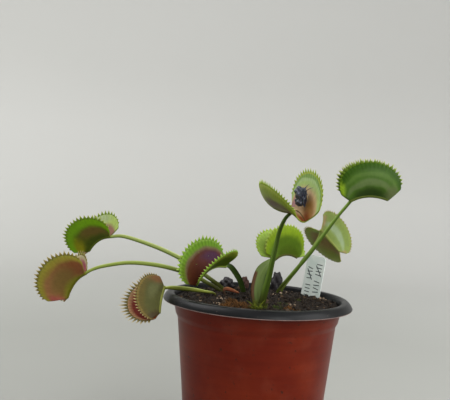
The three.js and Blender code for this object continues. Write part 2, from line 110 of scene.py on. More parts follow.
LEAVES = {
    "leaf_top_left": {
        "slot": "leaf_green",
        "route": [(-20, 17, 91.5), (-30.5, 19, 98.5), (-42, 21, 105.5), (-58.5, 23, 112.5), (-75, 24, 117.5),
                  (-87, 24, 120), (-94.5, 23, 119)],
        "half_widths": [1.1, 1.2, 1.3, 1.3, 1.2, 1.1, 0.9],
        "half_thickness": 0.7,
        "hinge_end": (-109.5, 29, 108.5),
        "opens": (-0.5, 0.18, 0.85),
        "bow": 2.4,
        "teeth": 21,
        "tooth": 2.2,
        "lobes": [lobe(1, 45, -15, 16, 13.5, 7.5, 2.5, (20, 12)),
                  lobe(-1, 30, -30, 18.5, 12.5, 6, -0.5, (20, 27))],
        "petiole": ("#8c9c5c", "#5c7030", "#a6b47c", "#3a4012"),
        "fullness": 1.05,
        "rib": "#4c5a18",
        "tooth_colours": ("#668028", "#b0b870"),
        "outer": ("#4c5614", [
            patch("#3c4a10", 0.55, 0.0, 0.8, 0.3),
            patch("#64522a", 0.36, 0.48, 0.34, 0.27, 0.8),
            patch("#7a7c10", 0.88, 0.55, 0.2, 0.35),
            rim("#659414", 0.56, 0.82),
            rim("#5c7a1a", 0.92, 1.0, 0.7),
        ]),
        "inner": ("#94706a", [
            rim("#a6be70", 0.52, 0.74),
            patch("#acbea0", 0.45, 0.85, 0.25, 0.3, 0.8),
        ]),
    },
    "leaf_left": {
        "slot": "leaf_reddened",
        "route": [(-21, 12, 91), (-31, 9, 97), (-40.5, 5, 101.5), (-56.5, 0, 105.5), (-73, -4, 106.5),
                  (-87, -6, 104), (-94, -7, 101.5), (-97.5, -8, 99)],
        "half_widths": [1, 1.1, 1.2, 1.2, 1.1, 1, 0.9, 0.8],
        "half_thickness": 0.7,
        "hinge_end": (-109, -2.5, 83.5),
        "opens": (-0.67, 0.41, 0.62),
        "bow": 2.4,
        "teeth": 21,
        "tooth": 2.3,
        "lobes": [lobe(1, 60, -20, 17, 13, 9, 0.5, (18, 4)), lobe(-1, 36, -34, 15, 12.5, 7, 0.5, (28, 30))],
        "petiole": ("#7e9046", "#5e6e2e", "#98a86a", "#3c3f1c"),
        "fullness": 1.05,
        "rib": "#5f6014",
        "tooth_colours": ("#706830", "#b8aa80"),
        "outer": ("#7c5a36", [
            patch("#886242", 0.75, 0.6, 0.35, 0.3),
            patch("#74482c", 0.12, 0.5, 0.3, 0.5),
            patch("#6a5a30", 0.55, 0.35, 0.35, 0.35, 0.8),
            patch("#96504a", 1.0, 0.55, 0.14, 0.45, 0.95),
            patch("#6e7420", 0.6, 0.0, 0.55, 0.2, 0.9),
            rim("#8a8434", 0.68, 0.92),
            rim("#7e8640", 0.94, 1.0, 0.8),
        ]),
        "inner": ("#8e4c5a", [
            rim("#ae9888", 0.68, 0.9),
            rim("#b2b292", 0.82, 0.96),
        ]),
    },
    "leaf_over_rim": {
        "slot": "leaf_reddened",
        "route": [(-24, 2, 91), (-29.5, -2, 92.7), (-37, -8, 94.3), (-45, -13, 95.3), (-48, -16, 95.6),
                  (-50, -17, 95.5)],
        "half_widths": [0.6, 0.9, 1.2, 1.2, 0.9, 0.8],
        "half_thickness": 0.6,
        "hinge_end": (-49, -31, 84.5),
        "opens": (-0.94, -0.25, 0.25),
        "bow": 0.5,
        "teeth": 24,
        "tooth": 3.6,
        "lobes": [lobe(1, 30, -38, 15, 10, 4.5, -0.5, (4, 6), teeth_lean=-30, teeth_share=0.5),
                  lobe(-1, 34, -22, 14, 11.5, 6.5, -0.5, (20, 25))],
        "petiole": ("#7a8438", "#444c1c", "#a2b26a", "#3e4016"),
        "fullness": 1.0,
        "rib": "#6a7036",
        "tooth_colours": ("#5e5630", "#b8a880"),
        "outer": ("#464828", [
            patch("#585c3c", 0.3, 0.45, 0.3, 0.22, 0.8),
            patch("#544a26", 0.55, 0.95, 0.6, 0.28, 0.8),
            patch("#6e4a2e", 0.04, 0.75, 0.24, 0.4, 0.85),
            patch("#3c3022", 1.0, 0.5, 0.18, 0.6, 0.85),
            patch("#646a3a", 0.5, 0.0, 0.7, 0.1, 0.7),
            rim("#6e6034", 0.88, 1.0),
        ]),
        "inner": ("#691f10", [
            rim("#8a6c4e", 0.83, 0.97, 0.9),
        ]),
    },
    "leaf_low_centre": {
        "slot": "leaf_green",
        "route": [(-8, 14, 91), (-9.5, 12, 96.5), (-11.5, 8, 101), (-15, 2, 106.5), (-17.5, -3, 108.5),
                  (-19, -6, 108)],
        "half_widths": [1.4, 1.5, 1.6, 1.5, 1.2, 0.9],
        "half_thickness": 0.7,
        "hinge_end": (-32.5, -19, 98),
        "opens": (-0.26, -0.39, 0.88),
        "bow": 3.8,
        "teeth": 21,
        "tooth": 2.3,
        "lobes": [lobe(-1, 27, -30, 15, 12.5, 8.5, 1.5, (12, 22)),
                  lobe(1, 58, -10, 14.5, 12.5, 8.5, -1.5, (-3, 2), teeth_lean=50, teeth_share=0.7)],
        "petiole": ("#384f22", "#506a34", "#22300f", "#252c10"),
        "fullness": 1.05,
        "rib": "#6f8434",
        "inner_ribs": 0.2,
        "tooth_colours": ("#709632", "#b0c472"),
        "outer": ("#4c6219", [
            rim("#7a8e2c", 0.6, 0.85),
            rim("#94a440", 0.85, 1.0),
        ]),
        "inner": ("#58302f", [
            patch("#4a2414", 0.9, 0.3, 0.4, 0.45, 0.9),
            patch("#4a304e", 0.28, 0.42, 0.22, 0.26, 0.85),
            patch("#563420", 0.75, 0.62, 0.4, 0.2, 0.7),
            rim("#766e56", 0.58, 0.74, 0.75),
            rim("#66902e", 0.7, 0.85),
            patch("#5c701c", 0.95, 0.85, 0.3, 0.2, 0.7),
            rim("#80a24e", 0.92, 1.0, 0.8),
        ]),
    },
    "leaf_high_centre": {
        "slot": "leaf_green",
        "route": [(2.5, -22, 89.5), (4, -22, 98), (5.5, -22, 104.5), (7, -22, 113.5), (8.5, -21.5, 121.5),
                  (10, -21, 129.5), (12.5, -21, 136), (15.5, -21, 139.5)],
        "half_widths": [1.9, 1.8, 1.6, 1.4, 1.2, 1.1, 1, 0.9],
        "half_thickness": 0.7,
        "hinge_end": (21.5, -38.5, 135),
        "opens": (0.02, -0.23, 0.97),
        "bow": 2.6,
        "teeth": 21,
        "tooth": 2.1,
        "lobes": [lobe(1, 25, -30, 17.5, 13, 11, 3.5, (20, 12)),
                  lobe(-1, 92, -78, 15.5, 15, 12.5, -2, (-45, 14))],
        "petiole": ("#304609", "#56702c", "#33430f", "#2e3310"),
        "fullness": 1.0,
        "rib": "#54481e",
        "tooth_colours": ("#88a236", "#b0c070"),
        "outer": ("#58422a", [
            patch("#7c8a34", 0.0, 0.75, 0.2, 0.5, 0.9),
            rim("#809430", 0.6, 0.82),
            rim("#a0b252", 0.88, 1.0, 0.85),
        ]),
        "inner": ("#c6ac8e", [
            patch("#986e82", 0.1, 0.3, 0.2, 0.35, 0.9),
            patch("#8a6026", 0.85, 0.3, 0.35, 0.3, 0.85),
            patch("#783c1c", 0.98, 0.1, 0.25, 0.25, 0.9),
            patch("#4a311b", 0.45, 0.15, 0.3, 0.12, 0.5),
            rim("#a4c27e", 0.56, 0.76),
            rim("#a8c49c", 0.78, 0.84, 0.6),
            rim("#749a4a", 0.86, 0.91, 0.8),
            rim("#a2b24e", 0.94, 1.0),
        ]),
    },
    "leaf_mid_right": {
        "slot": "leaf_bright",
        "route": [(1.2, -14, 89.5), (0.5, -12.5, 95.5), (1, -10, 101), (2.5, -7, 107), (6, -3.5, 111.5),
                  (9.5, 0, 113.5)],
        "half_widths": [3.2, 3.9, 4.1, 3.5, 1.8, 0.9],
        "half_thickness": 0.6,
        "hinge_end": (22.5, 11.5, 114),
        "opens": (-0.12, 0.1, 0.99),
        "bow": 2.2,
        "teeth": 21,
        "tooth": 1.5,
        "lobes": [lobe(-1, 30, -28, 15, 12.5, 6.5, -2, (16, 19)),
                  lobe(1, 46, -32, 18, 13, 6.5, -1, (19, 26))],
        "petiole": ("#5a6e3c", "#4e3420", "#22380c", "#465624"),
        "crease": (-0.48, -0.6),
        "crease_top": 0.6,
        "fold": 0.4,
        "fullness": 1.0,
        "rib": "#454c18",
        "tooth_colours": ("#84a034", "#b4c474"),
        "outer": ("#4a6612", [
            patch("#425610", 0.55, 0.1, 0.55, 0.28, 0.7),
            patch("#567620", 0.0, 0.5, 0.25, 0.6, 0.8),
            rim("#74921a", 0.56, 0.86),
            rim("#869c2e", 0.93, 1.0, 0.7),
        ]),
        "inner": ("#88a646", [
            patch("#705030", 0.3, 0.45, 0.35, 0.25, 0.9),
            rim("#94b452", 0.62, 0.85),
        ]),
    },
    "leaf_right": {
        "slot": "leaf_pale",
        "route": [(14, 24, 91.5), (19, 23, 100), (23.5, 21.5, 106.5), (27, 19.5, 112.5), (31.5, 17.5, 119),
                  (35, 15.5, 126), (36, 14, 130.5)],
        "half_widths": [0.9, 0.9, 0.9, 0.9, 0.9, 0.8, 0.8],
        "half_thickness": 0.6,
        "hinge_end": (48, 19.5, 118.5),
        "opens": (-0.14, 0.95, 0.28),
        "bow": 2.6,
        "teeth": 21,
        "tooth": 1.6,
        "lobes": [lobe(-1, 60, -27, 14.5, 12.5, 9, 1, (-5, 26)),
                  lobe(1, 50, -30, 15, 11.5, 9, 2.5, (28, 18))],
        "petiole": ("#7e914c", "#8fa45c", "#64763a", "#4a5628"),
        "fullness": 1.22,
        "rib": "#7f8a48",
        "tooth_colours": ("#8a8850", "#aaa078"),
        "outer": ("#6e8242", [
            # Painted light: the pale grey band across the middle of this outer face, on the lobe's swell
            patch("#84987c", 0.5, 0.42, 0.55, 0.17, 0.85),
            patch("#947860", 0.0, 0.6, 0.12, 0.5, 0.75),
            patch("#8c7858", 1.0, 0.6, 0.1, 0.4, 0.7),
            rim("#788a46", 0.75, 0.95),
        ]),
        "outer_of_second": ("#8a7a50", [
            patch("#84a056", 0.0, 0.5, 0.2, 0.8, 0.95),
            patch("#7c8e38", 0.9, 0.65, 0.45, 0.45, 0.95),
            rim("#849640", 0.55, 0.85),
        ]),
        "inner": ("#84664a", [
            rim("#869a54", 0.6, 0.85),
        ]),
    },
    "leaf_top_right": {
        "slot": "leaf_green",
        "route": [(11.5, 16, 91.5), (14, 15, 96), (22, 11, 107), (29.5, 8, 117.5), (37, 5, 129.5),
                  (43.5, 3, 139.5), (47.5, 2, 145), (50, 1, 148.5)],
        "half_widths": [0.7, 0.9, 1.1, 1.1, 1, 0.9, 0.9, 0.9],
        "half_thickness": 0.7,
        "hinge_end": (71, 1.5, 150),
        "opens": (-0.08, 0.16, 0.98),
        "bow": 2.5,
        "teeth": 23,
        "tooth": 3,
        "lobes": [lobe(-1, 38, -55, 17, 13.5, 8.5, 0.5, (22, 10)),
                  lobe(1, 38, -55, 17, 14, 9, 0.5, (22, 10))],
        "petiole": ("#526c28", "#7e9c50", "#3e5418", "#3a4418"),
        "fullness": 1.0,
        "rib": "#4c5a20",
        "tooth_colours": ("#48640e", "#b0ba74"),
        # Painted light and shade on this outer face: the dark patch by the hinge and the dark rim are painted
        # shade, and the paler bands across the middle are painted light on the lobe's swells
        "outer": ("#40601e", [
            patch("#1e300c", 0.5, 0.08, 0.5, 0.24, 0.85),
            patch("#5a6e44", 0.5, 0.42, 0.65, 0.12, 0.85),
            patch("#4c6a2a", 0.5, 0.68, 0.55, 0.08, 0.8),
            patch("#5c6446", 0.97, 0.35, 0.18, 0.4, 0.75),
            rim("#2c4c06", 0.7, 0.9),
            patch("#8cae2c", 0.06, 0.88, 0.12, 0.3, 0.8),
        ]),
        "inner": ("#7a6a3c", [
            rim("#7d9a3a", 0.6, 0.8),
        ]),
    },
}

# What a leaf has where its table gives nothing else: the fold across its petiole, where the left edge's
# colour starts across it and ends along it, and how strongly the ribs below the teeth show inside
USUAL_LEAF = {"fold": 0.08, "crease": (0.1, -0.75), "crease_top": 2.0, "inner_ribs": 0.1}
OUTER_RIBS = 0.04
ROUGHNESS = {"outside": 0.4, "inside": 0.5, "petiole": 0.42, "tooth": 0.45}
PETIOLE_STEPS = 56
ROOT_DEPTH = 6
TOWARDS_VIEWER = Vector((0, -1, 0.15))
MIDRIB = {"along": [-0.04, 0.2, 0.4, 0.6, 0.8, 0.98], "half_widths": [1, 1, 0.95, 0.85, 0.75, 0.6],
          "half_thickness": 0.8, "steps": 30}

# A lobe: half its thickness at shares of the way from the hinge to the margin, the height of its slow
# swells and of the flutes at its margin, where these start, and how far its edge stands out
LOBE_STATIONS = (0, 0.5, 0.9, 1)
LOBE_HALVES = (0.42, 0.33, 0.3, 0.22)
LOBE = {"swell": 0.22, "flute": 0.09, "fluted_from": 0.72, "edge": 0.18}

# The mesh of a lobe: its columns at the bare ends and for each tooth, and its rows to the margin
LOBE_ENDS = ([0.0, 0.025], [0.975, 1.0])
COLUMNS_PER_TOOTH = 6
LOBE_ROWS = np.concatenate((np.linspace(0, 0.7, 13), np.linspace(0.74, 1, 8)))

# Teeth: the share of the margin that is bare at each end, the length at the end of a row and its growth
# from there, as shares of the leaf's own, the width as a share of the spacing, how much thicker than the
# margin a foot is, the length with its buried foot and thin tip, and how deep it is sunk
TOOTHLESS = 0.05
TOOTH = {"shortest": 0.45, "growth": 2.5, "width": 1.05, "thicker": 0.16, "drawn_out": 1.4, "sunk": 0.1}
TRIGGERS = {"places": [(0.36, 0.42), (0.62, 0.42), (0.49, 0.66)], "width": 0.22, "lift": 0.25}

# A blade's facets, how much more often a strewn piece is small than large, and its size where its patch ends
BLADE_SIDES = 16
MOSTLY_SMALL = 2.4
SMALLER_AT_EDGE = 0.35

# Detail of the skins, in shares of a lobe or a petiole: how far and how often the coats wander, a patch's
# soft edge, where the ribs start, the fine veins and streaks, and how much darker and lighter they make it
TRAP_SKIN = {"wander": 0.13, "wander_scale": 5.0, "patch_edge": (1.25, 0.35), "ribs_from": 0.66,
             "veins": (75, 2.2, 1), "vein_tone": (0.94, 1.06), "mottle": 2.2, "mottle_tone": (0.92, 1.08)}
STALK_SKIN = {"right": (0.25, 0.85), "crease_fade": 0.04, "foot_fade": 0.2, "streaks": (6, 5, 6),
              "tone": (0.86, 1.14)}

# Pot and soil, as the solids have them. A corner inside the pot lies off the one outside by a shift.
POT = {"height": 93, "base": 35.5, "waist": (39.6, 41), "step": (44, 79.5), "step_rise": 2.5,
       "step_width": 1.3, "collar_top": (46.8, 89.5), "wall": 1, "floor": 1.3, "shift": 0.4,
       "collar_shift": 0.3}
POT_ROUNDING = {"base": 0.8, "waist": 6, "step": 0.6, "shoulder": 0.8, "collar": 0.5, "inside": 0.8,
                "other": 0.4}
SHARP_ANGLE = 40

# The lip as radius, depth below the top and rounding: its underside, its edge and its top
LIP_UNDER = [(48.5, 1.5, 0.5), (49.8, 1.4, 0.8), (51.4, 3.8)]
LIP_EDGE = [(51.4, 3.8), (52.38, 3.82, 0.2), (52.5, 3.4)]
LIP_OVER = [(52.5, 3.4), (51.8, 1.9, 1.4), (50.7, 0.6, 1.6), (49.7, 0, 1.2), (47.7, 0, 0.8), (46.7, 0.6, 0.8)]
DRAIN = {"count": 8, "radius": 3.5, "circle": 24, "depth": 8, "sides": 32}
SOIL = {"edge": 88.6, "mound": 2.8, "x": 1, "y": 18, "spread_x": 32, "spread_y": 22, "relief": 0.45,
        "radius": 45.2, "gap": 0.3}
SOIL_WAVES = {"x": (0.42, 0.9), "y": (0.37, 0.4), "slanted": (0.81, -0.66), "slanted_share": 0.6}
SOIL_GRAIN = {"scale": 0.35, "layer": 4.0, "height": 0.85, "fractal": (0.8, 2.2, 4)}
SOIL_RINGS = 44
SOIL_SIDES = 168

# Places on the soil, as x, y and a radius, for what grows or lies there
PLACES = {
    "tufts": [(1, -26, 2.6), (3, -20, 2.2), (-1, -21, 1.8)],
    "sprigs": [(23.5, 5, 1.3), (13.5, 12, 1.1)],
    "moss": [(14, -10, 3.2), (11, -19, 3), (25, 4, 2), (8, -30, 2.5)],
    "moss_rust": [(-10.5, -20, 5), (-15.5, -22, 3.2), (-5, -22, 3.6), (-14, -13, 3), (17, -20, 2.5)],
    "light_bits": [(-19.5, -8, 2.2), (-20.5, -18, 1.8), (14, 20, 1.8), (24, -4, 1.6), (39, 16, 1.8),
                   (10, 14, 1.8), (20, -10, 1.1), (28, -16, 1), (33, -6, 1.1), (38, -12, 1), (26, 2, 1),
                   (-30, -12, 1), (-25, -20, 1.1)],
}

# What is strewn on the soil: where, how many on a square centimetre, its smallest and largest size in
# millimetres, the most it tilts, how deep it is sunk as a share of its size, and its seed. The densities
# of crumbs, specks and slivers are shares of the panel's, which also gives the largest crumb and tuft.
STREWN = {
    "crumbs": ("everywhere", 0.14, 0.5, None, math.pi, 0.1, 3),
    "specks": ("everywhere", 0.2, 0.25, 0.6, math.pi, 0.1, 4),
    "slivers": ("everywhere", 0.06, 0.7, 2.2, 1.5, 0.1, 5),
    "light_bits_strewn": ("light_bits", 40, 0.6, 1.6, math.pi, 0.3, 6),
    "moss_low": ("moss", 380, 0.5, 1.6, 0.9, 0.0, 7),
    "moss_sprigs": ("sprigs", 700, 0.8, 2.2, 0.9, 0.0, 10),
    "moss_tufts": ("tufts", 700, 1.6, None, 0.6, 0.0, 9),
    "moss_rusty": ("moss_rust", 800, 0.9, 3.2, 1.0, 0.0, 8),
}

# Label, dry pieces and husk, as the solids have them
LABEL = {"width": 12, "height": 25, "buried": 22, "point": 7, "thickness": 0.8, "corner": 2.5,
         "point_corner": 0.5, "bevel": 0.14}
LABEL_PLACE = {"at": (32.3, 24, 90.4), "turned": 30, "leaning": 8}
WITHERED_LEAF = {
    "route": [(-17.5, 2.5, 89.5), (-19, 3.5, 92.3), (-18.3, 4, 94.2), (-15, 4.5, 93.7), (-10.5, 5, 92.2)],
    "half_widths": [0.6, 0.8, 1, 1.1, 0.5],
    "half_thickness": 0.5,
    "fold": 0.15,
}
LUMPS = {
    "withered_trap_left": {"at": (-18.7, 25, 94.2), "radii": (3.8, 3, 4.2), "seed": 3,
                           "slot": "withered_trap"},
    "withered_trap_right": {"at": (12, 31, 96.3), "radii": (3.4, 3, 6.5), "seed": 8, "slot": "withered_trap"},
    "bark_chip": {"at": (-8.2, 26, 94.8), "radii": (2.9, 2.4, 4.6), "seed": 5, "slot": "bark"},
}

# The husk's seat on its lobe. A segment is its lift off the lobe, its climb up it and its radii. A leg is
# its reach sideways, its climb and the length of its foot, from the middle of the body. Its knee stands at
# a share of the climb, its tip goes on by a share of the reach, and each is some way nearer the lobe.
HUSK = {
    "leaf": "leaf_high_centre",
    "lobe": 0,
    "seat": (0.6, 0.42),
    "segments": [(2.9, 0.2, (1.5, 2, 4.6)), (6, 1.7, (2.1, 2.3, 3.1)), (3.8, -2.9, (2.4, 2.3, 2.3))],
    "middle": (3.4, 3),
    "legs": [(2.5, 4.2, 0.9), (-2.0, 4.6, 1.4), (2.8, -1.5, 1.6), (-2.6, -2.0, 1.5)],
    "knee": (0.6, 0.6),
    "tip": (0.2, 1.2),
    "leg_half_widths": [0.24, 0.14, 0.06],
    "leg_half_thickness": 0.12,
}

# The folds and ridges of a dry lump, in waves over a ball one unit in radius
FOLDS = {"x": 5, "z": 6, "y": 9, "y_share": 0.6, "height": 0.16}
RIDGES = {"scale": 1.6, "fractal": (0.9, 2.1, 4, 1.0, 2.0), "level": 1.2, "height": 0.22}
LUMP_DEPTH = 0.34
HUSK_DEPTH = 0.2

# Tally strokes on the label: each column's left and right end, how far down it starts, and the strokes
STROKES = {"columns": ((1.0, 4.6), (-4.2, -1.0)), "count": 9, "every": 5, "top": 20, "lower": 3,
           "spacing": 2.1, "lean": 0.4, "slash": (7.6, 1.4), "longer": 0.2, "width": 0.52, "sunk": 0.02,
           "proud": 0.04}

# A round floor that curves up into a wall, open at the top, with its sky. Its paint carries painted light
# and shade. It goes from the floor's colour, painted shade round the plant, to the wall's with the distance.
# It goes a little more to the right as painted light on the floor, and grows darker from left to right as
# painted shade across the whole.
STUDIO = {"flat": 900, "curve": 700, "height": 1500, "aim": (-10, 0, 110), "sky": "#f2f2f2",
          "sky_strength": 1.15, "ramp": (350, 1600), "painted_light_across": (-150, 400), "painted_light_by": 0.15,
          "painted_shade_across": (-900, 900), "shade": (1.05, 0.9)}
STUDIO_MESH = {"sides": 96, "middle": 40, "rings": 14, "arc": 25}

# Large soft lights: place, size and watts
LIGHTS = {
    "key": ((-900, 150, 1300), 900, 10.0),
    "fill": ((1150, -290, 850), 900, 11.5),
    "front": ((450, -850, 600), 500, 5.8),
}

# The camera stands where the photograph was taken from
CAMERA = {"at": (0, -274.4, 134.2), "yaw": -4.4, "pitch": 2.3, "roll": 3.2, "lens": 38.4, "sensor": 36,
          "nearest": 10}


class PlantSizes(bpy.types.PropertyGroup):
    """Sizes of what the dressing adds, in millimetres."""

    crumb: bpy.props.FloatProperty(
        name="Largest crumb", description="Half the size of the largest soil crumbs, in mm",
        default=1.6, min=0.2, max=3)
    crumb_density: bpy.props.FloatProperty(
        name="Crumbs", description="Soil crumbs on a square centimetre", default=62, min=0, max=120)
    moss_height: bpy.props.FloatProperty(
        name="Moss height", description="Length of the longest moss blades, in mm",
        default=6.5, min=0.5, max=9)
    trigger: bpy.props.FloatProperty(
        name="Trigger hair", description="Length of the trigger hairs in a trap, in mm",
        default=1.5, min=0.5, max=4)
    unevenness: bpy.props.FloatProperty(
        name="Uneven teeth", description="How much the teeth of a trap differ in length",
        default=0.28, min=0, max=1, subtype="FACTOR")
    pot_sides: bpy.props.IntProperty(
        name="Pot sides", description="Facets round the pot", default=160, min=36, max=256)


def colour_property(name, description, code):
    return bpy.props.FloatVectorProperty(
        name=name, description=description, subtype="COLOR", size=4, min=0, max=1, default=linear(code))


class PlantColours(bpy.types.PropertyGroup):
    """Colours of everything but the leaves."""

    terracotta: colour_property("Terracotta", "Outside of the pot", "#5a1606")
    black: colour_property("Black", "Inside of the pot, and its lip", "#0c0d0f")
    lip_edge: colour_property("Lip edge", "Cut edge under the lip", "#8f7772")
    soil: colour_property("Soil", "Damp peat", "#0f0a07")
    soil_light: colour_property("Light crumbs", "Drier crumbs and fibres", "#50402f")
    perlite: colour_property("Light bits", "Perlite and dry bits", "#a8927a")
    moss: colour_property("Moss", "Green moss", "#4a5c1c")
    moss_rust: colour_property("Rusty moss", "Orange-brown moss", "#76502a")
    label: colour_property("Label", "Plant label", "#d9dfda")
    pencil: colour_property("Pencil", "Strokes on the label", "#16221f")
    husk: colour_property("Husk", "Insect husk", "#1c2030")
    withered: colour_property("Withered", "Blackened trap", "#191519")
    bark: colour_property("Bark", "Bark chip", "#3a2520")
    dry_leaf: colour_property("Dry leaf", "Withered leaf", "#74402a")
    backdrop: colour_property("Backdrop", "Wall of the backdrop", "#c5c5c2")
    # The floor's colour is darker than the wall's: painted shade round the plant
    floor: colour_property("Floor", "Floor of the studio", "#989994")


class LeafColours(bpy.types.PropertyGroup):
    """Main colours of one leaf. Its coats are in the table of leaves."""

    petiole: colour_property("Petiole", "Middle of the petiole", "#6a8c33")
    # The two edge colours are partly painted light and painted shade: the edge that faces the light is
    # lighter
    petiole_left: colour_property("Left edge", "Left or lower edge of the petiole", "#93ac5c")
    petiole_right: colour_property("Right edge", "Right or upper edge of the petiole", "#3a5416")
    petiole_foot: colour_property("Foot", "Foot of the petiole", "#3a4012")
    rib: colour_property("Midrib", "Rib between the two lobes", "#5f7a30")
    tooth: colour_property("Tooth", "Foot of a tooth", "#4f7a16")
    # The tooth tip's colour is paler with painted light, for light shining through the thin tip
    tooth_tip: colour_property("Tooth tip", "Tip of a tooth", "#7f9a45")


# Trees of nodes

def add(tree, kind, inputs=None, output=0, **settings):
    """Adds a node with its settings, values and links, and returns one of its outputs."""
    made = tree.nodes.new(kind)
    for key, value in settings.items():
        setattr(made, key, value)
    for key, value in (inputs or {}).items():
        if isinstance(value, bpy.types.NodeSocket):
            tree.links.new(value, made.inputs[key])
        else:
            made.inputs[key].default_value = value
    return made.outputs[output]


def new_tree(name, inputs):
    """A geometry tree with named inputs of given kinds: returns the tree and its inputs by name."""
    tree = bpy.data.node_groups.new(name, "GeometryNodeTree")
    tree.interface.new_socket("Geometry", in_out="OUTPUT", socket_type="NodeSocketGeometry")
    for socket, kind in {"Geometry": "Geometry", **inputs, "Material": "Material"}.items():
        tree.interface.new_socket(socket, in_out="INPUT", socket_type=f"NodeSocket{kind}")
    entry = tree.nodes.new("NodeGroupInput")
    return tree, {socket.name: socket for socket in entry.outputs if socket.name}


def close_tree(tree, given, made):
    """Ends a geometry tree in Realize Instances and Set Material."""
    made = add(tree, "GeometryNodeRealizeInstances", {"Geometry": made})
    made = add(tree, "GeometryNodeSetMaterial", {"Geometry": made, "Material": given["Material"]})
    tree.links.new(made, tree.nodes.new("NodeGroupOutput").inputs["Geometry"])
    return tree


def made_plain(holder):
    """Replaces an object's mesh and modifiers by the plain mesh that they give."""
    graph = bpy.context.evaluated_depsgraph_get()
    made = bpy.data.meshes.new_from_object(holder.evaluated_get(graph), depsgraph=graph)
    holder.modifiers.clear()
    holder.data = made
    return holder


def grow(name, mesh, tree, values):
    """Runs a geometry tree on a mesh and keeps the result as a plain mesh in a new object."""
    holder = show(name, mesh)
    modifier = holder.modifiers.new("Grow", "NODES")
    modifier.node_group = tree
    for item in tree.interface.items_tree:
        if item.in_out == "INPUT" and item.name in values:
            modifier[item.identifier] = values[item.name]
    return made_plain(holder)


def sweep_tree():
    """A closed blade along a route whose points carry half_width, wide across the face it is given."""
    tree, given = new_tree("Sweep along a route", {
        "Face": "Vector", "Half thickness": "Float", "Fold": "Float", "Steps": "Int"})
    curve = add(tree, "GeometryNodeMeshToCurve", {"Mesh": given["Geometry"]})
    curve = add(tree, "GeometryNodeCurveSplineType", {"Curve": curve}, spline_type="CATMULL_ROM")
    width = add(tree, "GeometryNodeInputNamedAttribute", {"Name": "half_width"}, **NUMBER)
    tube = add(tree, "GeometryNodeMeshCylinder",
               {"Vertices": BLADE_SIDES, "Side Segments": given["Steps"], "Radius": 1.0, "Depth": 1.0})
    place = add(tree, "GeometryNodeInputPosition")
    parts = add(tree, "ShaderNodeSeparateXYZ", {0: place}).node.outputs
    along = add(tree, "ShaderNodeMath", {0: parts["Z"], 1: 0.5}, operation="ADD")
    sample = add(tree, "GeometryNodeSampleCurve", {"Curves": curve, "Value": width, "Factor": along},
                 mode="FACTOR", **NUMBER)
    at = sample.node.outputs
    across = add(tree, "ShaderNodeVectorMath", {0: at["Tangent"], 1: given["Face"]},
                 operation="CROSS_PRODUCT")
    across = add(tree, "ShaderNodeVectorMath", {0: across}, operation="NORMALIZE")
    normal = add(tree, "ShaderNodeVectorMath", {0: across, 1: at["Tangent"]}, operation="CROSS_PRODUCT")
    sideways = add(tree, "ShaderNodeMath", {0: parts["X"], 1: at["Value"]}, operation="MULTIPLY")
    fold = add(tree, "ShaderNodeMath", {0: sideways}, operation="ABSOLUTE")
    fold = add(tree, "ShaderNodeMath", {0: fold, 1: given["Fold"]}, operation="MULTIPLY")
    height = add(tree, "ShaderNodeMath", {0: parts["Y"], 1: given["Half thickness"], 2: fold},
                 operation="MULTIPLY_ADD")
    point = add(tree, "ShaderNodeVectorMath", {0: across, "Scale": sideways}, operation="SCALE")
    point = add(tree, "ShaderNodeVectorMath", {0: point, 1: at["Position"]}, operation="ADD")
    lift = add(tree, "ShaderNodeVectorMath", {0: normal, "Scale": height}, operation="SCALE")
    point = add(tree, "ShaderNodeVectorMath", {0: point, 1: lift}, operation="ADD")
    stalk = add(tree, "ShaderNodeCombineXYZ", {"X": parts["X"], "Y": along, "Z": parts["Y"]})
    made = add(tree, "GeometryNodeStoreNamedAttribute", {"Geometry": tube, "Name": "stalk", "Value": stalk},
               domain="POINT", **VECTOR)
    made = add(tree, "GeometryNodeSetPosition", {"Geometry": made, "Position": point})
    made = add(tree, "GeometryNodeSetShadeSmooth", {"Geometry": made})
    return close_tree(tree, given, made)


def thorns_tree():
    """One thorn on every point, standing along up, turned to face and sized by size."""
    tree, given = new_tree("Thorns on points", {"Shape": "Object", "Unevenness": "Float", "Seed": "Int"})
    shape = add(tree, "GeometryNodeObjectInfo", {"Object": given["Shape"]}).node.outputs["Geometry"]
    up, face, size = (add(tree, "GeometryNodeInputNamedAttribute", {"Name": name}, **VECTOR)
                      for name in ("up", "face", "size"))
    turn = add(tree, "FunctionNodeAlignRotationToVector", {"Vector": up}, axis="Z")
    turn = add(tree, "FunctionNodeAlignRotationToVector", {"Rotation": turn, "Vector": face},
               axis="Y", pivot_axis="Z")
    least = add(tree, "ShaderNodeMath", {0: 1.0, 1: given["Unevenness"]}, operation="SUBTRACT")
    length = add(tree, "FunctionNodeRandomValue", {2: least, 3: 1.0, "Seed": given["Seed"]}, output=1,
                 **NUMBER)
    scale = add(tree, "ShaderNodeCombineXYZ", {"X": 1.0, "Y": 1.0, "Z": length})
    scale = add(tree, "ShaderNodeVectorMath", {0: scale, 1: size}, operation="MULTIPLY")
    made = add(tree, "GeometryNodeInstanceOnPoints",
               {"Points": given["Geometry"], "Instance": shape, "Rotation": turn, "Scale": scale})
    return close_tree(tree, given, made)


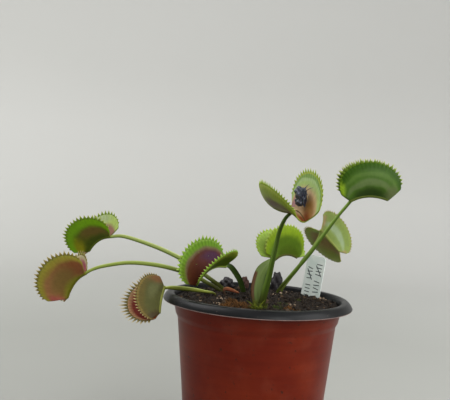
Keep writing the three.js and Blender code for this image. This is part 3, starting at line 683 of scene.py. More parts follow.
def scatter_tree():
    """A shape strewn over a surface where an attribute says, each with its own size, turn and tone."""
    tree, given = new_tree("Strew over a surface", {
        "Shape": "Object", "Where": "String", "Density": "Float", "Smallest": "Float", "Largest": "Float",
        "Tilt": "Float", "Sink": "Float", "Seed": "Int"})
    shape = add(tree, "GeometryNodeObjectInfo", {"Object": given["Shape"]}).node.outputs["Geometry"]
    where = add(tree, "GeometryNodeInputNamedAttribute", {"Name": given["Where"]}, **NUMBER)
    density = add(tree, "ShaderNodeMath", {0: where, 1: given["Density"]}, operation="MULTIPLY")
    points = add(tree, "GeometryNodeDistributePointsOnFaces",
                 {"Mesh": given["Geometry"], "Density": density, "Seed": given["Seed"]},
                 distribute_method="RANDOM")
    tilt = add(tree, "ShaderNodeMath", {0: given["Tilt"], 1: -1.0}, operation="MULTIPLY")
    low = add(tree, "ShaderNodeCombineXYZ", {"X": tilt, "Y": tilt, "Z": 0.0})
    high = add(tree, "ShaderNodeCombineXYZ", {"X": given["Tilt"], "Y": given["Tilt"], "Z": 2 * math.pi})
    turn = add(tree, "FunctionNodeRandomValue", {0: low, 1: high, "Seed": given["Seed"]}, **VECTOR)
    draw = add(tree, "FunctionNodeRandomValue", {2: 0.0, 3: 1.0, "Seed": given["Seed"]}, output=1, **NUMBER)
    draw = add(tree, "ShaderNodeMath", {0: draw, 1: MOSTLY_SMALL}, operation="POWER")
    scale = add(tree, "ShaderNodeMapRange",
                {"Value": draw, "To Min": given["Smallest"], "To Max": given["Largest"]})
    shorter = add(tree, "ShaderNodeMapRange", {"Value": where, "To Min": SMALLER_AT_EDGE})
    scale = add(tree, "ShaderNodeMath", {0: scale, 1: shorter}, operation="MULTIPLY")
    made = add(tree, "GeometryNodeInstanceOnPoints",
               {"Points": points, "Instance": shape, "Rotation": turn, "Scale": scale})
    down = add(tree, "ShaderNodeMath", {0: scale, 1: given["Sink"]}, operation="MULTIPLY")
    down = add(tree, "ShaderNodeCombineXYZ", {"Z": down})
    tone = add(tree, "FunctionNodeRandomValue", {2: 0.0, 3: 1.0}, output=1, **NUMBER)
    for name, value, kind in (("down", down, VECTOR), ("tone", tone, NUMBER)):
        made = add(tree, "GeometryNodeStoreNamedAttribute", {"Geometry": made, "Name": name, "Value": value},
                   domain="INSTANCE", **kind)
    made = add(tree, "GeometryNodeRealizeInstances", {"Geometry": made})
    sunk = add(tree, "GeometryNodeInputNamedAttribute", {"Name": "down"}, **VECTOR)
    made = add(tree, "GeometryNodeSetPosition", {"Geometry": made, "Offset": sunk})
    return close_tree(tree, given, made)


MADE_TREES = {}


def shared_tree(maker):
    """The tree that a function makes, made once."""
    if maker.__name__ not in MADE_TREES:
        MADE_TREES[maker.__name__] = maker()
    return MADE_TREES[maker.__name__]


# Meshes

def mesh_of(name, points, faces, materials=(), face_materials=None, smooth=True):
    """A mesh in metres from points in millimetres."""
    mesh = bpy.data.meshes.new(name)
    mesh.from_pydata([tuple(float(c) * MM for c in p) for p in points], [], [tuple(f) for f in faces])
    for material in materials:
        mesh.materials.append(material)
    if face_materials is not None:
        mesh.polygons.foreach_set("material_index", face_materials)
    mesh.polygons.foreach_set("use_smooth", [smooth] * len(mesh.polygons))
    return mesh


def mesh_from(name, shell):
    """A new mesh from a bmesh, which is freed."""
    mesh = bpy.data.meshes.new(name)
    shell.to_mesh(mesh)
    shell.free()
    return mesh


def face_outwards(mesh):
    shell = bmesh.new()
    shell.from_mesh(mesh)
    bmesh.ops.recalc_face_normals(shell, faces=shell.faces)
    shell.to_mesh(mesh)
    shell.free()
    return mesh


def show(name, mesh):
    made = bpy.data.objects.new(name, mesh)
    bpy.context.scene.collection.objects.link(made)
    return made


def put(mesh, name, kind, values):
    """Stores one value for each point as a named attribute."""
    layer = mesh.attributes.new(name, kind, "POINT")
    field = "vector" if kind == "FLOAT_VECTOR" else "value"
    layer.data.foreach_set(field, np.asarray(values, np.float32).ravel())


def joined(name, pieces):
    """Joins objects into the first of them."""
    bpy.ops.object.select_all(action="DESELECT")
    for piece in pieces:
        piece.select_set(True)
    bpy.context.view_layer.objects.active = pieces[0]
    bpy.ops.object.join()
    pieces[0].name = name
    pieces[0].data.name = name
    return pieces[0]


def hand_over(piece, slot, *nodes):
    """Attaches the piece to its body and hides the nodes it stands for. The slot is not used."""
    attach(piece, BODY)
    if nodes:
        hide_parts(*nodes)


def around(radius, sides, shift=0.0):
    """Points evenly spaced round the axis, as x and y. The shift is a share of the spacing."""
    turns = [2 * math.pi * (i + shift) / sides for i in range(sides)]
    return [(radius * math.cos(turn), radius * math.sin(turn)) for turn in turns]


def spin(name, profile, sides, materials, kinds):
    """A solid turned from a profile of radius and height, closed where that ends on the axis."""
    points, rows = [], []
    for radius, height in profile:
        if radius == 0:
            rows.append([len(points)] * sides)
            points.append((0, 0, height))
        else:
            rows.append(range(len(points), len(points) + sides))
            points += [(x, y, height) for x, y in around(radius, sides)]
    faces, marks = [], []
    for k in range(len(rows) - 1):
        for i in range(sides):
            j = (i + 1) % sides
            ring = [rows[k][i], rows[k][j], rows[k + 1][j], rows[k + 1][i]]
            faces.append(list(dict.fromkeys(ring)))
            marks.append(kinds[k])
    return face_outwards(mesh_of(name, points, faces, materials, marks))


def spike(name, stations, sides):
    """A closed spike one unit long, from stations of height, centre and half-widths along X and Y."""
    points = [(x + wide * c, y + deep * s, z)
              for z, x, y, wide, deep in stations for c, s in around(1, sides)]
    faces = []
    for first in range(0, len(points) - sides, sides):
        for i in range(sides):
            j = (i + 1) % sides
            faces.append((first + i, first + j, first + sides + j, first + sides + i))
    faces += [tuple(reversed(range(sides))), tuple(range(len(points) - sides, len(points)))]
    return mesh_of(name, np.array(points) / MM, faces)


def rounded(points, radius, steps=4):
    """An open outline with its inner corners rounded. A point may carry its own radius as a third value."""
    out = [tuple(points[0][:2])]
    for before, here, after in zip(points, points[1:], points[2:]):
        corner = Vector(here[:2])
        size = here[2] if len(here) > 2 else radius
        back, on = Vector(before[:2]) - corner, Vector(after[:2]) - corner
        start = corner + back.normalized() * min(size, back.length / 2)
        end = corner + on.normalized() * min(size, on.length / 2)
        for i in range(steps + 1):
            t = i / steps
            out.append(tuple((1 - t) ** 2 * start + 2 * t * (1 - t) * corner + t * t * end))
    out.append(tuple(points[-1][:2]))
    return out


# Materials

def features(size):
    """The scale of a noise whose features are about size millimetres across."""
    return 1 / (size * MM)


def new_material(name):
    """A material with an empty tree and its shader: returns the material, the tree and the shader node."""
    material = bpy.data.materials.new(name)
    material.use_nodes = True
    tree = material.node_tree
    tree.nodes.clear()
    shader = add(tree, "ShaderNodeBsdfPrincipled")
    tree.links.new(shader, tree.nodes.new("ShaderNodeOutputMaterial").inputs["Surface"])
    return material, tree, shader.node


def coat(tree, below, colour, pattern, start=0.0, end=1.0, strength=1.0, **ramp):
    """Lays a colour over the one below where a pattern goes from start to end, up to a strength."""
    share = add(tree, "ShaderNodeMapRange",
                {"Value": pattern, "From Min": start, "From Max": end, "To Max": strength}, **ramp)
    return add(tree, "ShaderNodeMix", {0: share, MIX_A: below, MIX_B: colour}, **BLEND)


def toned(tree, colour, pattern, darkest, lightest, start=0.3, end=0.7):
    """Makes a colour darker and lighter, by a factor that follows a pattern from start to end."""
    factor = add(tree, "ShaderNodeMapRange",
                 {"Value": pattern, "From Min": start, "From Max": end, "To Min": darkest,
                  "To Max": lightest})
    return add(tree, "ShaderNodeVectorMath", {0: colour, "Scale": factor}, operation="SCALE")


def finish_shader(tree, shader, colour, settings, height=None, relief=0.0):
    """Links the colour, sets the constant inputs and adds the bump."""
    tree.links.new(colour, shader.inputs["Base Color"])
    for key, value in settings.items():
        shader.inputs[key].default_value = value
    if height is not None:
        bump = add(tree, "ShaderNodeBump", {"Height": height, "Distance": relief * MM})
        tree.links.new(bump, shader.inputs["Normal"])


# Living plant skin: waxy, and thin enough for a little light to come through
LIVING = {"IOR": 1.42, "Specular IOR Level": 0.13, "Subsurface Weight": 0.15,
          "Subsurface Radius": (0.9, 1.0, 0.3), "Subsurface Scale": 0.8 * MM}


def trap_material(name, base, coats, roughness, teeth, ribbed):
    """Living lobe, waxy outside and satin inside: soft coats of colour run into one another, fine veins
    go from the hinge to the margin, and a pale rib stands below each tooth. The coats carry painted light
    and shade as well as the leaf's own colours."""
    material, tree, shader = new_material(name)
    place = add(tree, "ShaderNodeAttribute", output=1, attribute_name="trap")
    flat = add(tree, "ShaderNodeSeparateXYZ", {0: place}).node.outputs
    turns = 2 * math.pi * teeth / (1 - 2 * TOOTHLESS)
    rib = add(tree, "ShaderNodeMath", {0: flat["X"], 1: turns, 2: math.pi - turns * TOOTHLESS},
              operation="MULTIPLY_ADD")
    rib = add(tree, "ShaderNodeMath", {0: rib}, operation="COSINE")
    near_margin = add(tree, "ShaderNodeMapRange",
                      {"Value": flat["Y"], "From Min": TRAP_SKIN["ribs_from"], "To Max": ribbed}, **SMOOTH)
    rib = add(tree, "ShaderNodeMath", {0: rib, 1: near_margin, 2: 1.0}, operation="MULTIPLY_ADD")
    wander = add(tree, "ShaderNodeTexNoise",
                 {"Vector": place, "Scale": TRAP_SKIN["wander_scale"], "Detail": 2.0}, output=1)
    wander = add(tree, "ShaderNodeVectorMath", {0: wander, 1: (0.5, 0.5, 0.5)}, operation="SUBTRACT")
    wander = add(tree, "ShaderNodeVectorMath", {0: wander, "Scale": TRAP_SKIN["wander"]}, operation="SCALE")
    bent = add(tree, "ShaderNodeVectorMath", {0: place, 1: wander}, operation="ADD")
    height = add(tree, "ShaderNodeSeparateXYZ", {0: bent}).node.outputs["Y"]
    colour = skin(base)
    # Coats: the leaf's own colours, with painted light and shade among them
    for layer in coats:
        if layer["kind"] == "rim":
            pattern, start, end = height, layer["start"], layer["end"]
        else:
            away = add(tree, "ShaderNodeVectorMath", {0: bent, 1: (*layer["centre"], 0)},
                       operation="SUBTRACT")
            away = add(tree, "ShaderNodeVectorMath", {0: away, 1: (*layer["reach"], 1)}, operation="DIVIDE")
            pattern = add(tree, "ShaderNodeVectorMath", {0: away}, operation="LENGTH", output=1)
            start, end = TRAP_SKIN["patch_edge"]
        colour = coat(tree, colour, skin(layer["colour"]), pattern, start, end, layer["strength"], **SMOOTH)
    veins = add(tree, "ShaderNodeVectorMath", {0: place, 1: TRAP_SKIN["veins"]}, operation="MULTIPLY")
    veins = add(tree, "ShaderNodeTexNoise", {"Vector": veins, "Scale": 1.0, "Detail": 2.0})
    at = add(tree, "ShaderNodeTexCoord", output=OBJECT)
    mottle = add(tree, "ShaderNodeTexNoise",
                 {"Vector": at, "Scale": features(TRAP_SKIN["mottle"]), "Detail": 3.0})
    colour = toned(tree, colour, veins, *TRAP_SKIN["vein_tone"])
    colour = toned(tree, colour, mottle, *TRAP_SKIN["mottle_tone"])
    colour = add(tree, "ShaderNodeVectorMath", {0: colour, "Scale": rib}, operation="SCALE")
    finish_shader(tree, shader, colour, {**LIVING, "Roughness": roughness}, veins, 0.06)
    return material


def stalk_material(name, middle, left, right, foot, crease=USUAL_LEAF["crease"],
                   crease_top=USUAL_LEAF["crease_top"], foot_top=0.32):
    """Petiole, smooth and softly glossy: its middle, its edges and its foot each have their own colour,
    under fine lengthwise streaks. The edges' colours are partly painted light and painted shade, lighter on
    the side the light falls on and darker on the other.

    The left edge's colour starts over the crease, and stops at the share crease_top of the length. The
    foot's colour ends at the share foot_top; on the dry leaf this foot is painted shadow."""
    material, tree, shader = new_material(name)
    place = add(tree, "ShaderNodeAttribute", output=1, attribute_name="stalk")
    parts = add(tree, "ShaderNodeSeparateXYZ", {0: place}).node.outputs
    # Left edge: partly painted light or painted shade, by the side it lies on
    colour = coat(tree, middle, left, parts["X"], *crease, **SMOOTH)
    colour = coat(tree, colour, middle, parts["Y"], crease_top, crease_top + STALK_SKIN["crease_fade"],
                  **SMOOTH)
    # Right edge: partly painted light or painted shade, by the side it lies on
    colour = coat(tree, colour, right, parts["X"], *STALK_SKIN["right"], **SMOOTH)
    colour = coat(tree, colour, foot, parts["Y"], foot_top, foot_top - STALK_SKIN["foot_fade"], **SMOOTH)
    streaks = add(tree, "ShaderNodeVectorMath", {0: place, 1: STALK_SKIN["streaks"]}, operation="MULTIPLY")
    streaks = add(tree, "ShaderNodeTexNoise", {"Vector": streaks, "Scale": 1.0, "Detail": 3.0})
    colour = toned(tree, colour, streaks, *STALK_SKIN["tone"])
    finish_shader(tree, shader, colour, {**LIVING, "Roughness": ROUGHNESS["petiole"]}, streaks, 0.08)
    return material


def tooth_material(name, foot, tip):
    """Living tooth: the margin's colour at its foot, paler at its tip, where painted light over the tooth's
    own colour stands in for light shining through the thin tip.
    """
    material, tree, shader = new_material(name)
    height = add(tree, "ShaderNodeAttribute", output=2, attribute_name="tooth")
    # Painted light: paler towards the tip, as light shines through it
    colour = coat(tree, foot, tip, height, 0.3)
    at = add(tree, "ShaderNodeTexCoord", output=OBJECT)
    mottle = add(tree, "ShaderNodeTexNoise", {"Vector": at, "Scale": features(0.7), "Detail": 3.0})
    colour = toned(tree, colour, mottle, 0.8, 1.2, 0.0, 1.0)
    finish_shader(tree, shader, colour, {**LIVING, "Roughness": ROUGHNESS["tooth"]})
    return material


def crumb_material(name, dark, light, share, roughness=0.9, sheen=0.5):
    """Peat, moss and other bits: rough, with little gloss. A share of the crumbs runs up to the light tone,
    and fine grit lightens the others in spots."""
    material, tree, shader = new_material(name)
    tone = add(tree, "ShaderNodeAttribute", output=2, attribute_name="tone")
    tone = add(tree, "ShaderNodeMapRange", {"Value": tone, "From Min": 1 - share})
    at = add(tree, "ShaderNodeTexCoord", output=OBJECT)
    grit = add(tree, "ShaderNodeTexNoise", {"Vector": at, "Scale": features(0.8), "Detail": 3.0})
    spots = add(tree, "ShaderNodeMapRange",
                {"Value": grit, "From Min": 0.45, "From Max": 0.75, "To Max": 0.45})
    amount = add(tree, "ShaderNodeMath", {0: tone, 1: spots}, operation="MAXIMUM")
    colour = add(tree, "ShaderNodeMix", {0: amount, MIX_A: dark, MIX_B: light}, **BLEND)
    settings = {"Roughness": roughness, "IOR": 1.45, "Specular IOR Level": sheen}
    finish_shader(tree, shader, colour, settings, grit, 0.25)
    return material


def terracotta_material(colour):
    """Polypropylene, thermoformed: semi-matt with faint rings from the forming, dust, and a few specks
    and splashes of dried soil low on the wall. The forming rings are drawn 2.5 mm apart, coarser than
    real ones, so that they show."""
    material, tree, shader = new_material("polypropylene, terracotta, formed")
    at = add(tree, "ShaderNodeTexCoord", output=OBJECT)
    clouds = add(tree, "ShaderNodeTexNoise", {"Vector": at, "Scale": features(26), "Detail": 3.0})
    shade = coat(tree, colour, linear("#6c230c"), clouds, 0.4, 0.65, 0.7)
    dust = add(tree, "ShaderNodeTexNoise", {"Vector": at, "Scale": features(9), "Detail": 5.0})
    shade = coat(tree, shade, linear("#84503f"), dust, 0.5, 0.8, 0.12)
    height = add(tree, "ShaderNodeSeparateXYZ", {0: at}, output=2)
    low = add(tree, "ShaderNodeMapRange",
              {"Value": height, "From Min": 54 * MM, "From Max": 30 * MM, "To Max": 0.11})
    splash = add(tree, "ShaderNodeTexNoise", {"Vector": at, "Scale": features(1.7), "Detail": 2.0})
    splash = add(tree, "ShaderNodeMath", {0: splash, 1: low}, operation="ADD")
    shade = coat(tree, shade, linear("#2a1a12"), splash, 0.68, 0.73, 0.8)
    rings = add(tree, "ShaderNodeVectorMath", {0: at, 1: (0.06, 0.06, 1)}, operation="MULTIPLY")
    rings = add(tree, "ShaderNodeTexNoise", {"Vector": rings, "Scale": features(2.5), "Detail": 2.0})
    shade = toned(tree, shade, rings, 0.92, 1.08)
    settings = {"Roughness": 0.36, "IOR": 1.49, "Specular IOR Level": 0.14}
    finish_shader(tree, shader, shade, settings, rings, 0.05)
    return material


def black_material(colour):
    """Polypropylene, black, thermoformed: satin, so that it carries broad grey lights, with thin dust and
    a few pale scuffs."""
    material, tree, shader = new_material("polypropylene, black, formed")
    at = add(tree, "ShaderNodeTexCoord", output=OBJECT)
    dust = add(tree, "ShaderNodeTexNoise", {"Vector": at, "Scale": features(7), "Detail": 4.0})
    shade = coat(tree, colour, linear("#333231"), dust, 0.45, 0.85, 0.12)
    scuffs = add(tree, "ShaderNodeTexNoise", {"Vector": at, "Scale": features(1.1), "Detail": 1.0})
    shade = coat(tree, shade, linear("#5b5048"), scuffs, 0.75, 0.79, 0.5)
    settings = {"Roughness": 0.34, "IOR": 1.49, "Specular IOR Level": 0.15}
    finish_shader(tree, shader, shade, settings, dust, 0.06)
    return material


def plain_material(name, low, high, size, roughness, relief, varnish=0.0):
    """A finish with two tones that wander into each other at a given size in millimetres."""
    material, tree, shader = new_material(name)
    at = add(tree, "ShaderNodeTexCoord", output=OBJECT)
    clouds = add(tree, "ShaderNodeTexNoise", {"Vector": at, "Scale": features(size), "Detail": 4.0})
    colour = coat(tree, low, high, clouds, 0.35, 0.68)
    settings = {"Roughness": roughness, "IOR": 1.5, "Coat Weight": varnish}
    finish_shader(tree, shader, colour, settings, clouds, relief)
    return material


def backdrop_material(floor, wall):
    """Matt paint with painted light and shade: grey on the floor near the plant as painted shade, lighter
    farther out and up the wall, lighter on the floor to the right as painted light, and lighter on the left
    than on the right as painted light and shade."""
    material, tree, shader = new_material("paint, pale grey, matt")
    at = add(tree, "ShaderNodeTexCoord", output=OBJECT)
    away = add(tree, "ShaderNodeVectorMath", {0: at}, operation="LENGTH", output=1)
    across = add(tree, "ShaderNodeSeparateXYZ", {0: at}).node.outputs["X"]
    # Painted shade round the plant: the floor's colour turns into the wall's with the distance
    near, far = (d * MM for d in STUDIO["ramp"])
    share = add(tree, "ShaderNodeMapRange", {"Value": away, "From Min": near, "From Max": far})
    # Painted light on the floor to the right
    left, right = (d * MM for d in STUDIO["painted_light_across"])
    lighter = add(tree, "ShaderNodeMapRange",
                  {"Value": across, "From Min": left, "From Max": right, "To Max": STUDIO["painted_light_by"]},
                  **SMOOTH)
    share = add(tree, "ShaderNodeMath", {0: share, 1: lighter}, operation="ADD", use_clamp=True)
    colour = add(tree, "ShaderNodeMix", {0: share, MIX_A: floor, MIX_B: wall}, **BLEND)
    # Painted light and shade: lighter on the left, darker on the right
    left, right = (d * MM for d in STUDIO["painted_shade_across"])
    colour = toned(tree, colour, across, *STUDIO["shade"], left, right)
    finish_shader(tree, shader, colour, {"Roughness": 0.95, "Specular IOR Level": 0.1})
    return material


# Traps

def between(start, end, share):
    """An angle in radians between two in degrees."""
    return np.radians(start + (end - start) * share)


def unit(vectors):
    return vectors / np.linalg.norm(vectors, axis=-1, keepdims=True)


class Trap:
    """The hinge of one trap and its curved lobes, by the same rule as the solids."""

    def __init__(self, leaf, seed):
        self.leaf = leaf
        self.seed = seed
        self.start = np.array(leaf["route"][-1], float)
        way = np.array(leaf["hinge_end"], float) - self.start
        self.length = float(np.linalg.norm(way))
        self.x = way / self.length
        opens = np.array(leaf["opens"], float)
        self.z = unit(opens - opens @ self.x * self.x)
        self.y = np.cross(self.z, self.x)

    def rise(self, u):
        """How far the bowed hinge stands over its ends."""
        return self.leaf["bow"] * (1 - (2 * u - 1) ** 2)

    def hinge(self, u):
        return self.start + self.x * self.length * u + self.z * self.rise(u)

    def plain(self, lobe, u, v):
        """Points of a lobe's middle surface, without its waves."""
        u, v = np.broadcast_arrays(np.asarray(u, float), np.asarray(v, float))
        turn = between(180 + lobe["corners"][0], -lobe["corners"][1], u)
        margin_x = self.length / 2 + lobe["skew"] + lobe["half"] * np.cos(turn)
        margin_z = lobe["centre"] + lobe["rise"] * np.sin(turn)
        root_x = self.length * u
        root_z = self.rise(u)
        start, curl = math.radians(lobe["open"]), math.radians(lobe["curl"])
        here = start + curl * v
        sideways = (math.cos(start) - np.cos(here)) / curl
        upwards = (np.sin(here) - math.sin(start)) / curl
        reach = margin_z - root_z
        return (self.start + self.x * (root_x + (margin_x - root_x) * v)[..., None]
                + self.y * (lobe["side"] * reach * sideways)[..., None]
                + self.z * (root_z + reach * upwards)[..., None])

    def inward(self, lobe, u, v, step=0.01):
        """The unit normal there, on the trap's inner side."""
        u, v = np.broadcast_arrays(np.asarray(u, float), np.asarray(v, float))
        along = self.plain(lobe, u + step, v) - self.plain(lobe, u - step, v)
        out = self.plain(lobe, u, v + step) - self.plain(lobe, u, np.maximum(v - step, 0))
        normal = unit(np.cross(along, out))
        middle = np.cross(self.plain(lobe, 0.5 + step, 0.5) - self.plain(lobe, 0.5 - step, 0.5),
                          self.plain(lobe, 0.5, 0.5 + step) - self.plain(lobe, 0.5, 0.5 - step))
        return normal if middle @ self.y * lobe["side"] < 0 else -normal

    def surface(self, lobe, u, v):
        """Points of the middle surface with slow swells, other ones on each lobe, and a fluted margin."""
        u, v = np.broadcast_arrays(np.asarray(u, float), np.asarray(v, float))
        share = (u - TOOTHLESS) / (1 - 2 * TOOTHLESS)
        near_margin = np.clip((v - LOBE["fluted_from"]) / (1 - LOBE["fluted_from"]), 0, 1) ** 1.5
        flutes = near_margin * np.cos(2 * math.pi * share * self.leaf["teeth"])
        swell = np.sin(5.1 * u + 1.7 * self.seed) * np.sin(4.3 * v + 0.9 * self.seed + lobe["side"])
        swell = swell * np.sin(np.clip(v, 0, 1) * math.pi) + 0.5 * np.sin(9 * u + self.seed) * v * v
        offset = LOBE["flute"] * flutes + LOBE["swell"] * swell
        return self.plain(lobe, u, v) + self.inward(lobe, u, v) * offset[..., None]

    def lobe_mesh(self, name, lobe, materials):
        """A thin closed shell. Its materials are the outer face, the inner face and the margin."""
        outside, inside, margin = range(3)
        spaces = self.leaf["teeth"] * COLUMNS_PER_TOOTH
        toothed = TOOTHLESS + (1 - 2 * TOOTHLESS) * np.arange(spaces + 1) / spaces
        u = np.concatenate((LOBE_ENDS[0], toothed, LOBE_ENDS[1]))
        grid_u, grid_v = np.meshgrid(u, LOBE_ROWS)
        middle = self.surface(lobe, grid_u, grid_v)
        wall = self.inward(lobe, grid_u, grid_v) * np.interp(grid_v, LOBE_STATIONS, LOBE_HALVES)[..., None]
        edge = self.surface(lobe, u, 1.0)
        edge = edge + unit(edge - self.surface(lobe, u, 0.97)) * LOBE["edge"]
        points = np.concatenate([(middle - wall).reshape(-1, 3), (middle + wall).reshape(-1, 3), edge])
        rows, columns = grid_u.shape
        front, last = rows * columns, 2 * rows * columns
        faces, kinds = [], []
        for r in range(rows - 1):
            for c in range(columns - 1):
                a = r * columns + c
                faces.append((a, a + 1, a + columns + 1, a + columns))
                faces.append(tuple(front + i for i in (a, a + columns, a + columns + 1, a + 1)))
                kinds += [outside, inside]
        top = (rows - 1) * columns
        for c in range(columns - 1):
            faces.append((c, front + c, front + c + 1, c + 1))
            faces.append((top + c, top + c + 1, last + c + 1, last + c))
            faces.append((front + top + c + 1, front + top + c, last + c, last + c + 1))
            kinds += [outside, margin, margin]
        for c in (0, columns - 1):
            for r in range(rows - 1):
                a = r * columns + c
                faces.append((a, a + columns, front + a + columns, front + a))
            faces.append((top + c, last + c, front + top + c))
            kinds += [margin] * rows
        mesh = face_outwards(mesh_of(name, points, faces, materials, kinds))
        place = np.stack([grid_u, grid_v, np.zeros_like(grid_u)], -1).reshape(-1, 3)
        ends = np.stack([u, np.ones_like(u), np.zeros_like(u)], -1)
        put(mesh, "trap", "FLOAT_VECTOR", np.concatenate([place, place, ends]))
        put(mesh, "tooth", "FLOAT", np.zeros(len(points)))
        return mesh

    def tooth_points(self, name, lobe):
        """One point for each tooth, on the margin, with its direction and size."""
        count = self.leaf["teeth"]
        k = np.arange(count)
        u = TOOTHLESS + (1 - 2 * TOOTHLESS) * (k + 0.5) / count
        margin = self.surface(lobe, u, 1.0)
        out = margin - self.surface(lobe, u, 0.96)
        edge = unit(self.surface(lobe, u + 0.01, 1.0) - self.surface(lobe, u - 0.01, 1.0))
        out = unit(out - (out * edge).sum(-1, keepdims=True) * edge)
        step = (1 - 2 * TOOTHLESS) / count / 2
        pitch = self.surface(lobe, u + step, 1.0) - self.surface(lobe, u - step, 1.0)
        pitch = np.linalg.norm(pitch, axis=-1)
        inward = self.inward(lobe, u, np.ones(count))
        lean = math.radians(lobe["teeth_lean"])
        out = out * math.cos(lean) + inward * math.sin(lean)
        from_end = np.minimum(k + 0.5, count - k - 0.5) / count
        taper = np.minimum(1, TOOTH["shortest"] + TOOTH["growth"] * from_end)
        length = self.leaf["tooth"] * lobe["teeth_share"] * taper * TOOTH["drawn_out"]
        thickness = np.full(count, 2 * LOBE_HALVES[-1] + TOOTH["thicker"])
        size = np.stack([pitch * TOOTH["width"], thickness, length], -1)
        return self.points_mesh(name, margin - out * TOOTH["sunk"], out, inward, size)

    def trigger_points(self, name, lobe, length):
        """The trigger hairs, which stand on the inner face."""
        u, v = np.array(TRIGGERS["places"]).T
        inward = self.inward(lobe, u, v)
        places = self.surface(lobe, u, v) + inward * TRIGGERS["lift"]
        size = np.tile((TRIGGERS["width"], TRIGGERS["width"], length), (len(u), 1))
        return self.points_mesh(name, places, inward, np.tile(self.x, (len(u), 1)), size)

    @staticmethod
    def points_mesh(name, places, up, face, size):
        mesh = mesh_of(name, places, [])
        for key, values in (("up", up), ("face", face), ("size", size * MM)):
            put(mesh, key, "FLOAT_VECTOR", values)
        return mesh


def thorn_shape():
    """A curved, flattened thorn one unit long, with a flared foot. It leans towards +Y."""
    sections = [(0.0, 1.0, 1.0), (0.12, 0.92, 1.0), (0.3, 0.72, 0.85), (0.5, 0.5, 0.65), (0.7, 0.3, 0.45),
                (0.86, 0.16, 0.28), (1.0, 0.04, 0.08)]
    sides = 6
    mesh = spike("thorn", [(z, 0, 0.2 * z * z, width / 2, depth / 2) for z, width, depth in sections], sides)
    put(mesh, "tooth", "FLOAT", np.repeat([z for z, width, depth in sections], sides))
    return mesh


def sweep(name, route, half_widths, half_thickness, material, face=TOWARDS_VIEWER, fold=0.0, steps=40):
    """A closed blade along a route, made by the sweep tree."""
    mesh = bpy.data.meshes.new(name)
    points = [tuple(float(c) * MM for c in p) for p in route]
    mesh.from_pydata(points, [(i, i + 1) for i in range(len(points) - 1)], [])
    put(mesh, "half_width", "FLOAT", np.array(half_widths) * MM)
    values = {"Face": tuple(face), "Half thickness": half_thickness * MM, "Fold": fold, "Steps": steps,
              "Material": material}
    return grow(name, mesh, shared_tree(sweep_tree), values)


def rooted(route, half_widths):
    """A route and its widths with a foot that goes down into the soil."""
    x, y, z = route[0]
    return [(x, y, z - ROOT_DEPTH), *route], [half_widths[0], *half_widths]


class LeafMaker:
    """Makes one finished leaf: petiole, midrib, lobes, teeth and trigger hairs in one mesh."""

    def __init__(self, name, number, colours, sizes):
        self.name = name
        self.leaf = {**USUAL_LEAF, **LEAVES[name]}
        self.trap = Trap(self.leaf, number)
        self.number = number
        self.colours = colours
        self.sizes = sizes

    def materials(self):
        leaf, colours = self.leaf, self.colours
        words, teeth = self.name.replace("_", " "), leaf["teeth"]
        outer = trap_material(f"living leaf, waxy, outside of {words}", *leaf["outer"],
                              ROUGHNESS["outside"], teeth, OUTER_RIBS)
        second = outer
        if "outer_of_second" in leaf:
            second = trap_material(f"living leaf, waxy, shaded outside of {words}", *leaf["outer_of_second"],
                                   ROUGHNESS["outside"], teeth, OUTER_RIBS)
        inner = trap_material(f"living leaf, satin, inside of {words}", *leaf["inner"],
                              ROUGHNESS["inside"], teeth, leaf["inner_ribs"])
        tooth = tooth_material(f"living tooth of {words}", colours.tooth, colours.tooth_tip)
        stalk = stalk_material(f"living petiole of {words}", colours.petiole, colours.petiole_left,
                               colours.petiole_right, colours.petiole_foot, leaf["crease"],
                               leaf["crease_top"])
        rib = stalk_material(f"living midrib of {words}", *[colours.rib] * 4)
        return (outer, second), inner, tooth, stalk, rib

    def make(self, thorn):
        outers, inner, tooth, stalk, rib_skin = self.materials()
        leaf, trap, name = self.leaf, self.trap, self.name
        route, widths = rooted(leaf["route"], leaf["half_widths"])
        widths = [width * leaf["fullness"] for width in widths]
        pieces = [sweep(name, route, widths, leaf["half_thickness"], stalk, fold=leaf["fold"],
                        steps=PETIOLE_STEPS)]
        rib = [trap.hinge(u) for u in MIDRIB["along"]]
        pieces.append(sweep(f"{name}_rib", rib, MIDRIB["half_widths"], MIDRIB["half_thickness"], rib_skin,
                            face=trap.z, steps=MIDRIB["steps"]))
        for i, lobe in enumerate(leaf["lobes"]):
            label = f"{name}_{i}"
            pieces.append(show(label, trap.lobe_mesh(label, lobe, (outers[i], inner, tooth))))
            grown = {"Shape": thorn, "Unevenness": self.sizes.unevenness, "Seed": 10 * self.number + i,
                     "Material": tooth}
            teeth = trap.tooth_points(f"{label}_teeth", lobe)
            hairs = trap.trigger_points(f"{label}_hairs", lobe, self.sizes.trigger)
            tree = shared_tree(thorns_tree)
            pieces += [grow(points.name, points, tree, grown) for points in (teeth, hairs)]
        hand_over(joined(f"{name}_grown", pieces), leaf["slot"], name)


# Soil

def soil_height(x, y):
    """The soil's height at a place: a mound with slow waves, as in the solid."""
    far = ((x - SOIL["x"]) / SOIL["spread_x"]) ** 2 + ((y - SOIL["y"]) / SOIL["spread_y"]) ** 2
    (often_x, start_x), (often_y, start_y) = SOIL_WAVES["x"], SOIL_WAVES["y"]
    slant_x, slant_y = SOIL_WAVES["slanted"]
    waves = (math.sin(often_x * x + start_x) * math.sin(often_y * y + start_y)
             + SOIL_WAVES["slanted_share"] * math.sin(slant_x * x + slant_y * y))
    return SOIL["edge"] + SOIL["mound"] * math.exp(-far / 2) + SOIL["relief"] * waves


def crumbled(x, y):
    """A small rise or fall of the soil, from fine noise."""
    at = Vector((x * SOIL_GRAIN["scale"], y * SOIL_GRAIN["scale"], SOIL_GRAIN["layer"]))
    return SOIL_GRAIN["height"] * noise.fractal(at, *SOIL_GRAIN["fractal"])


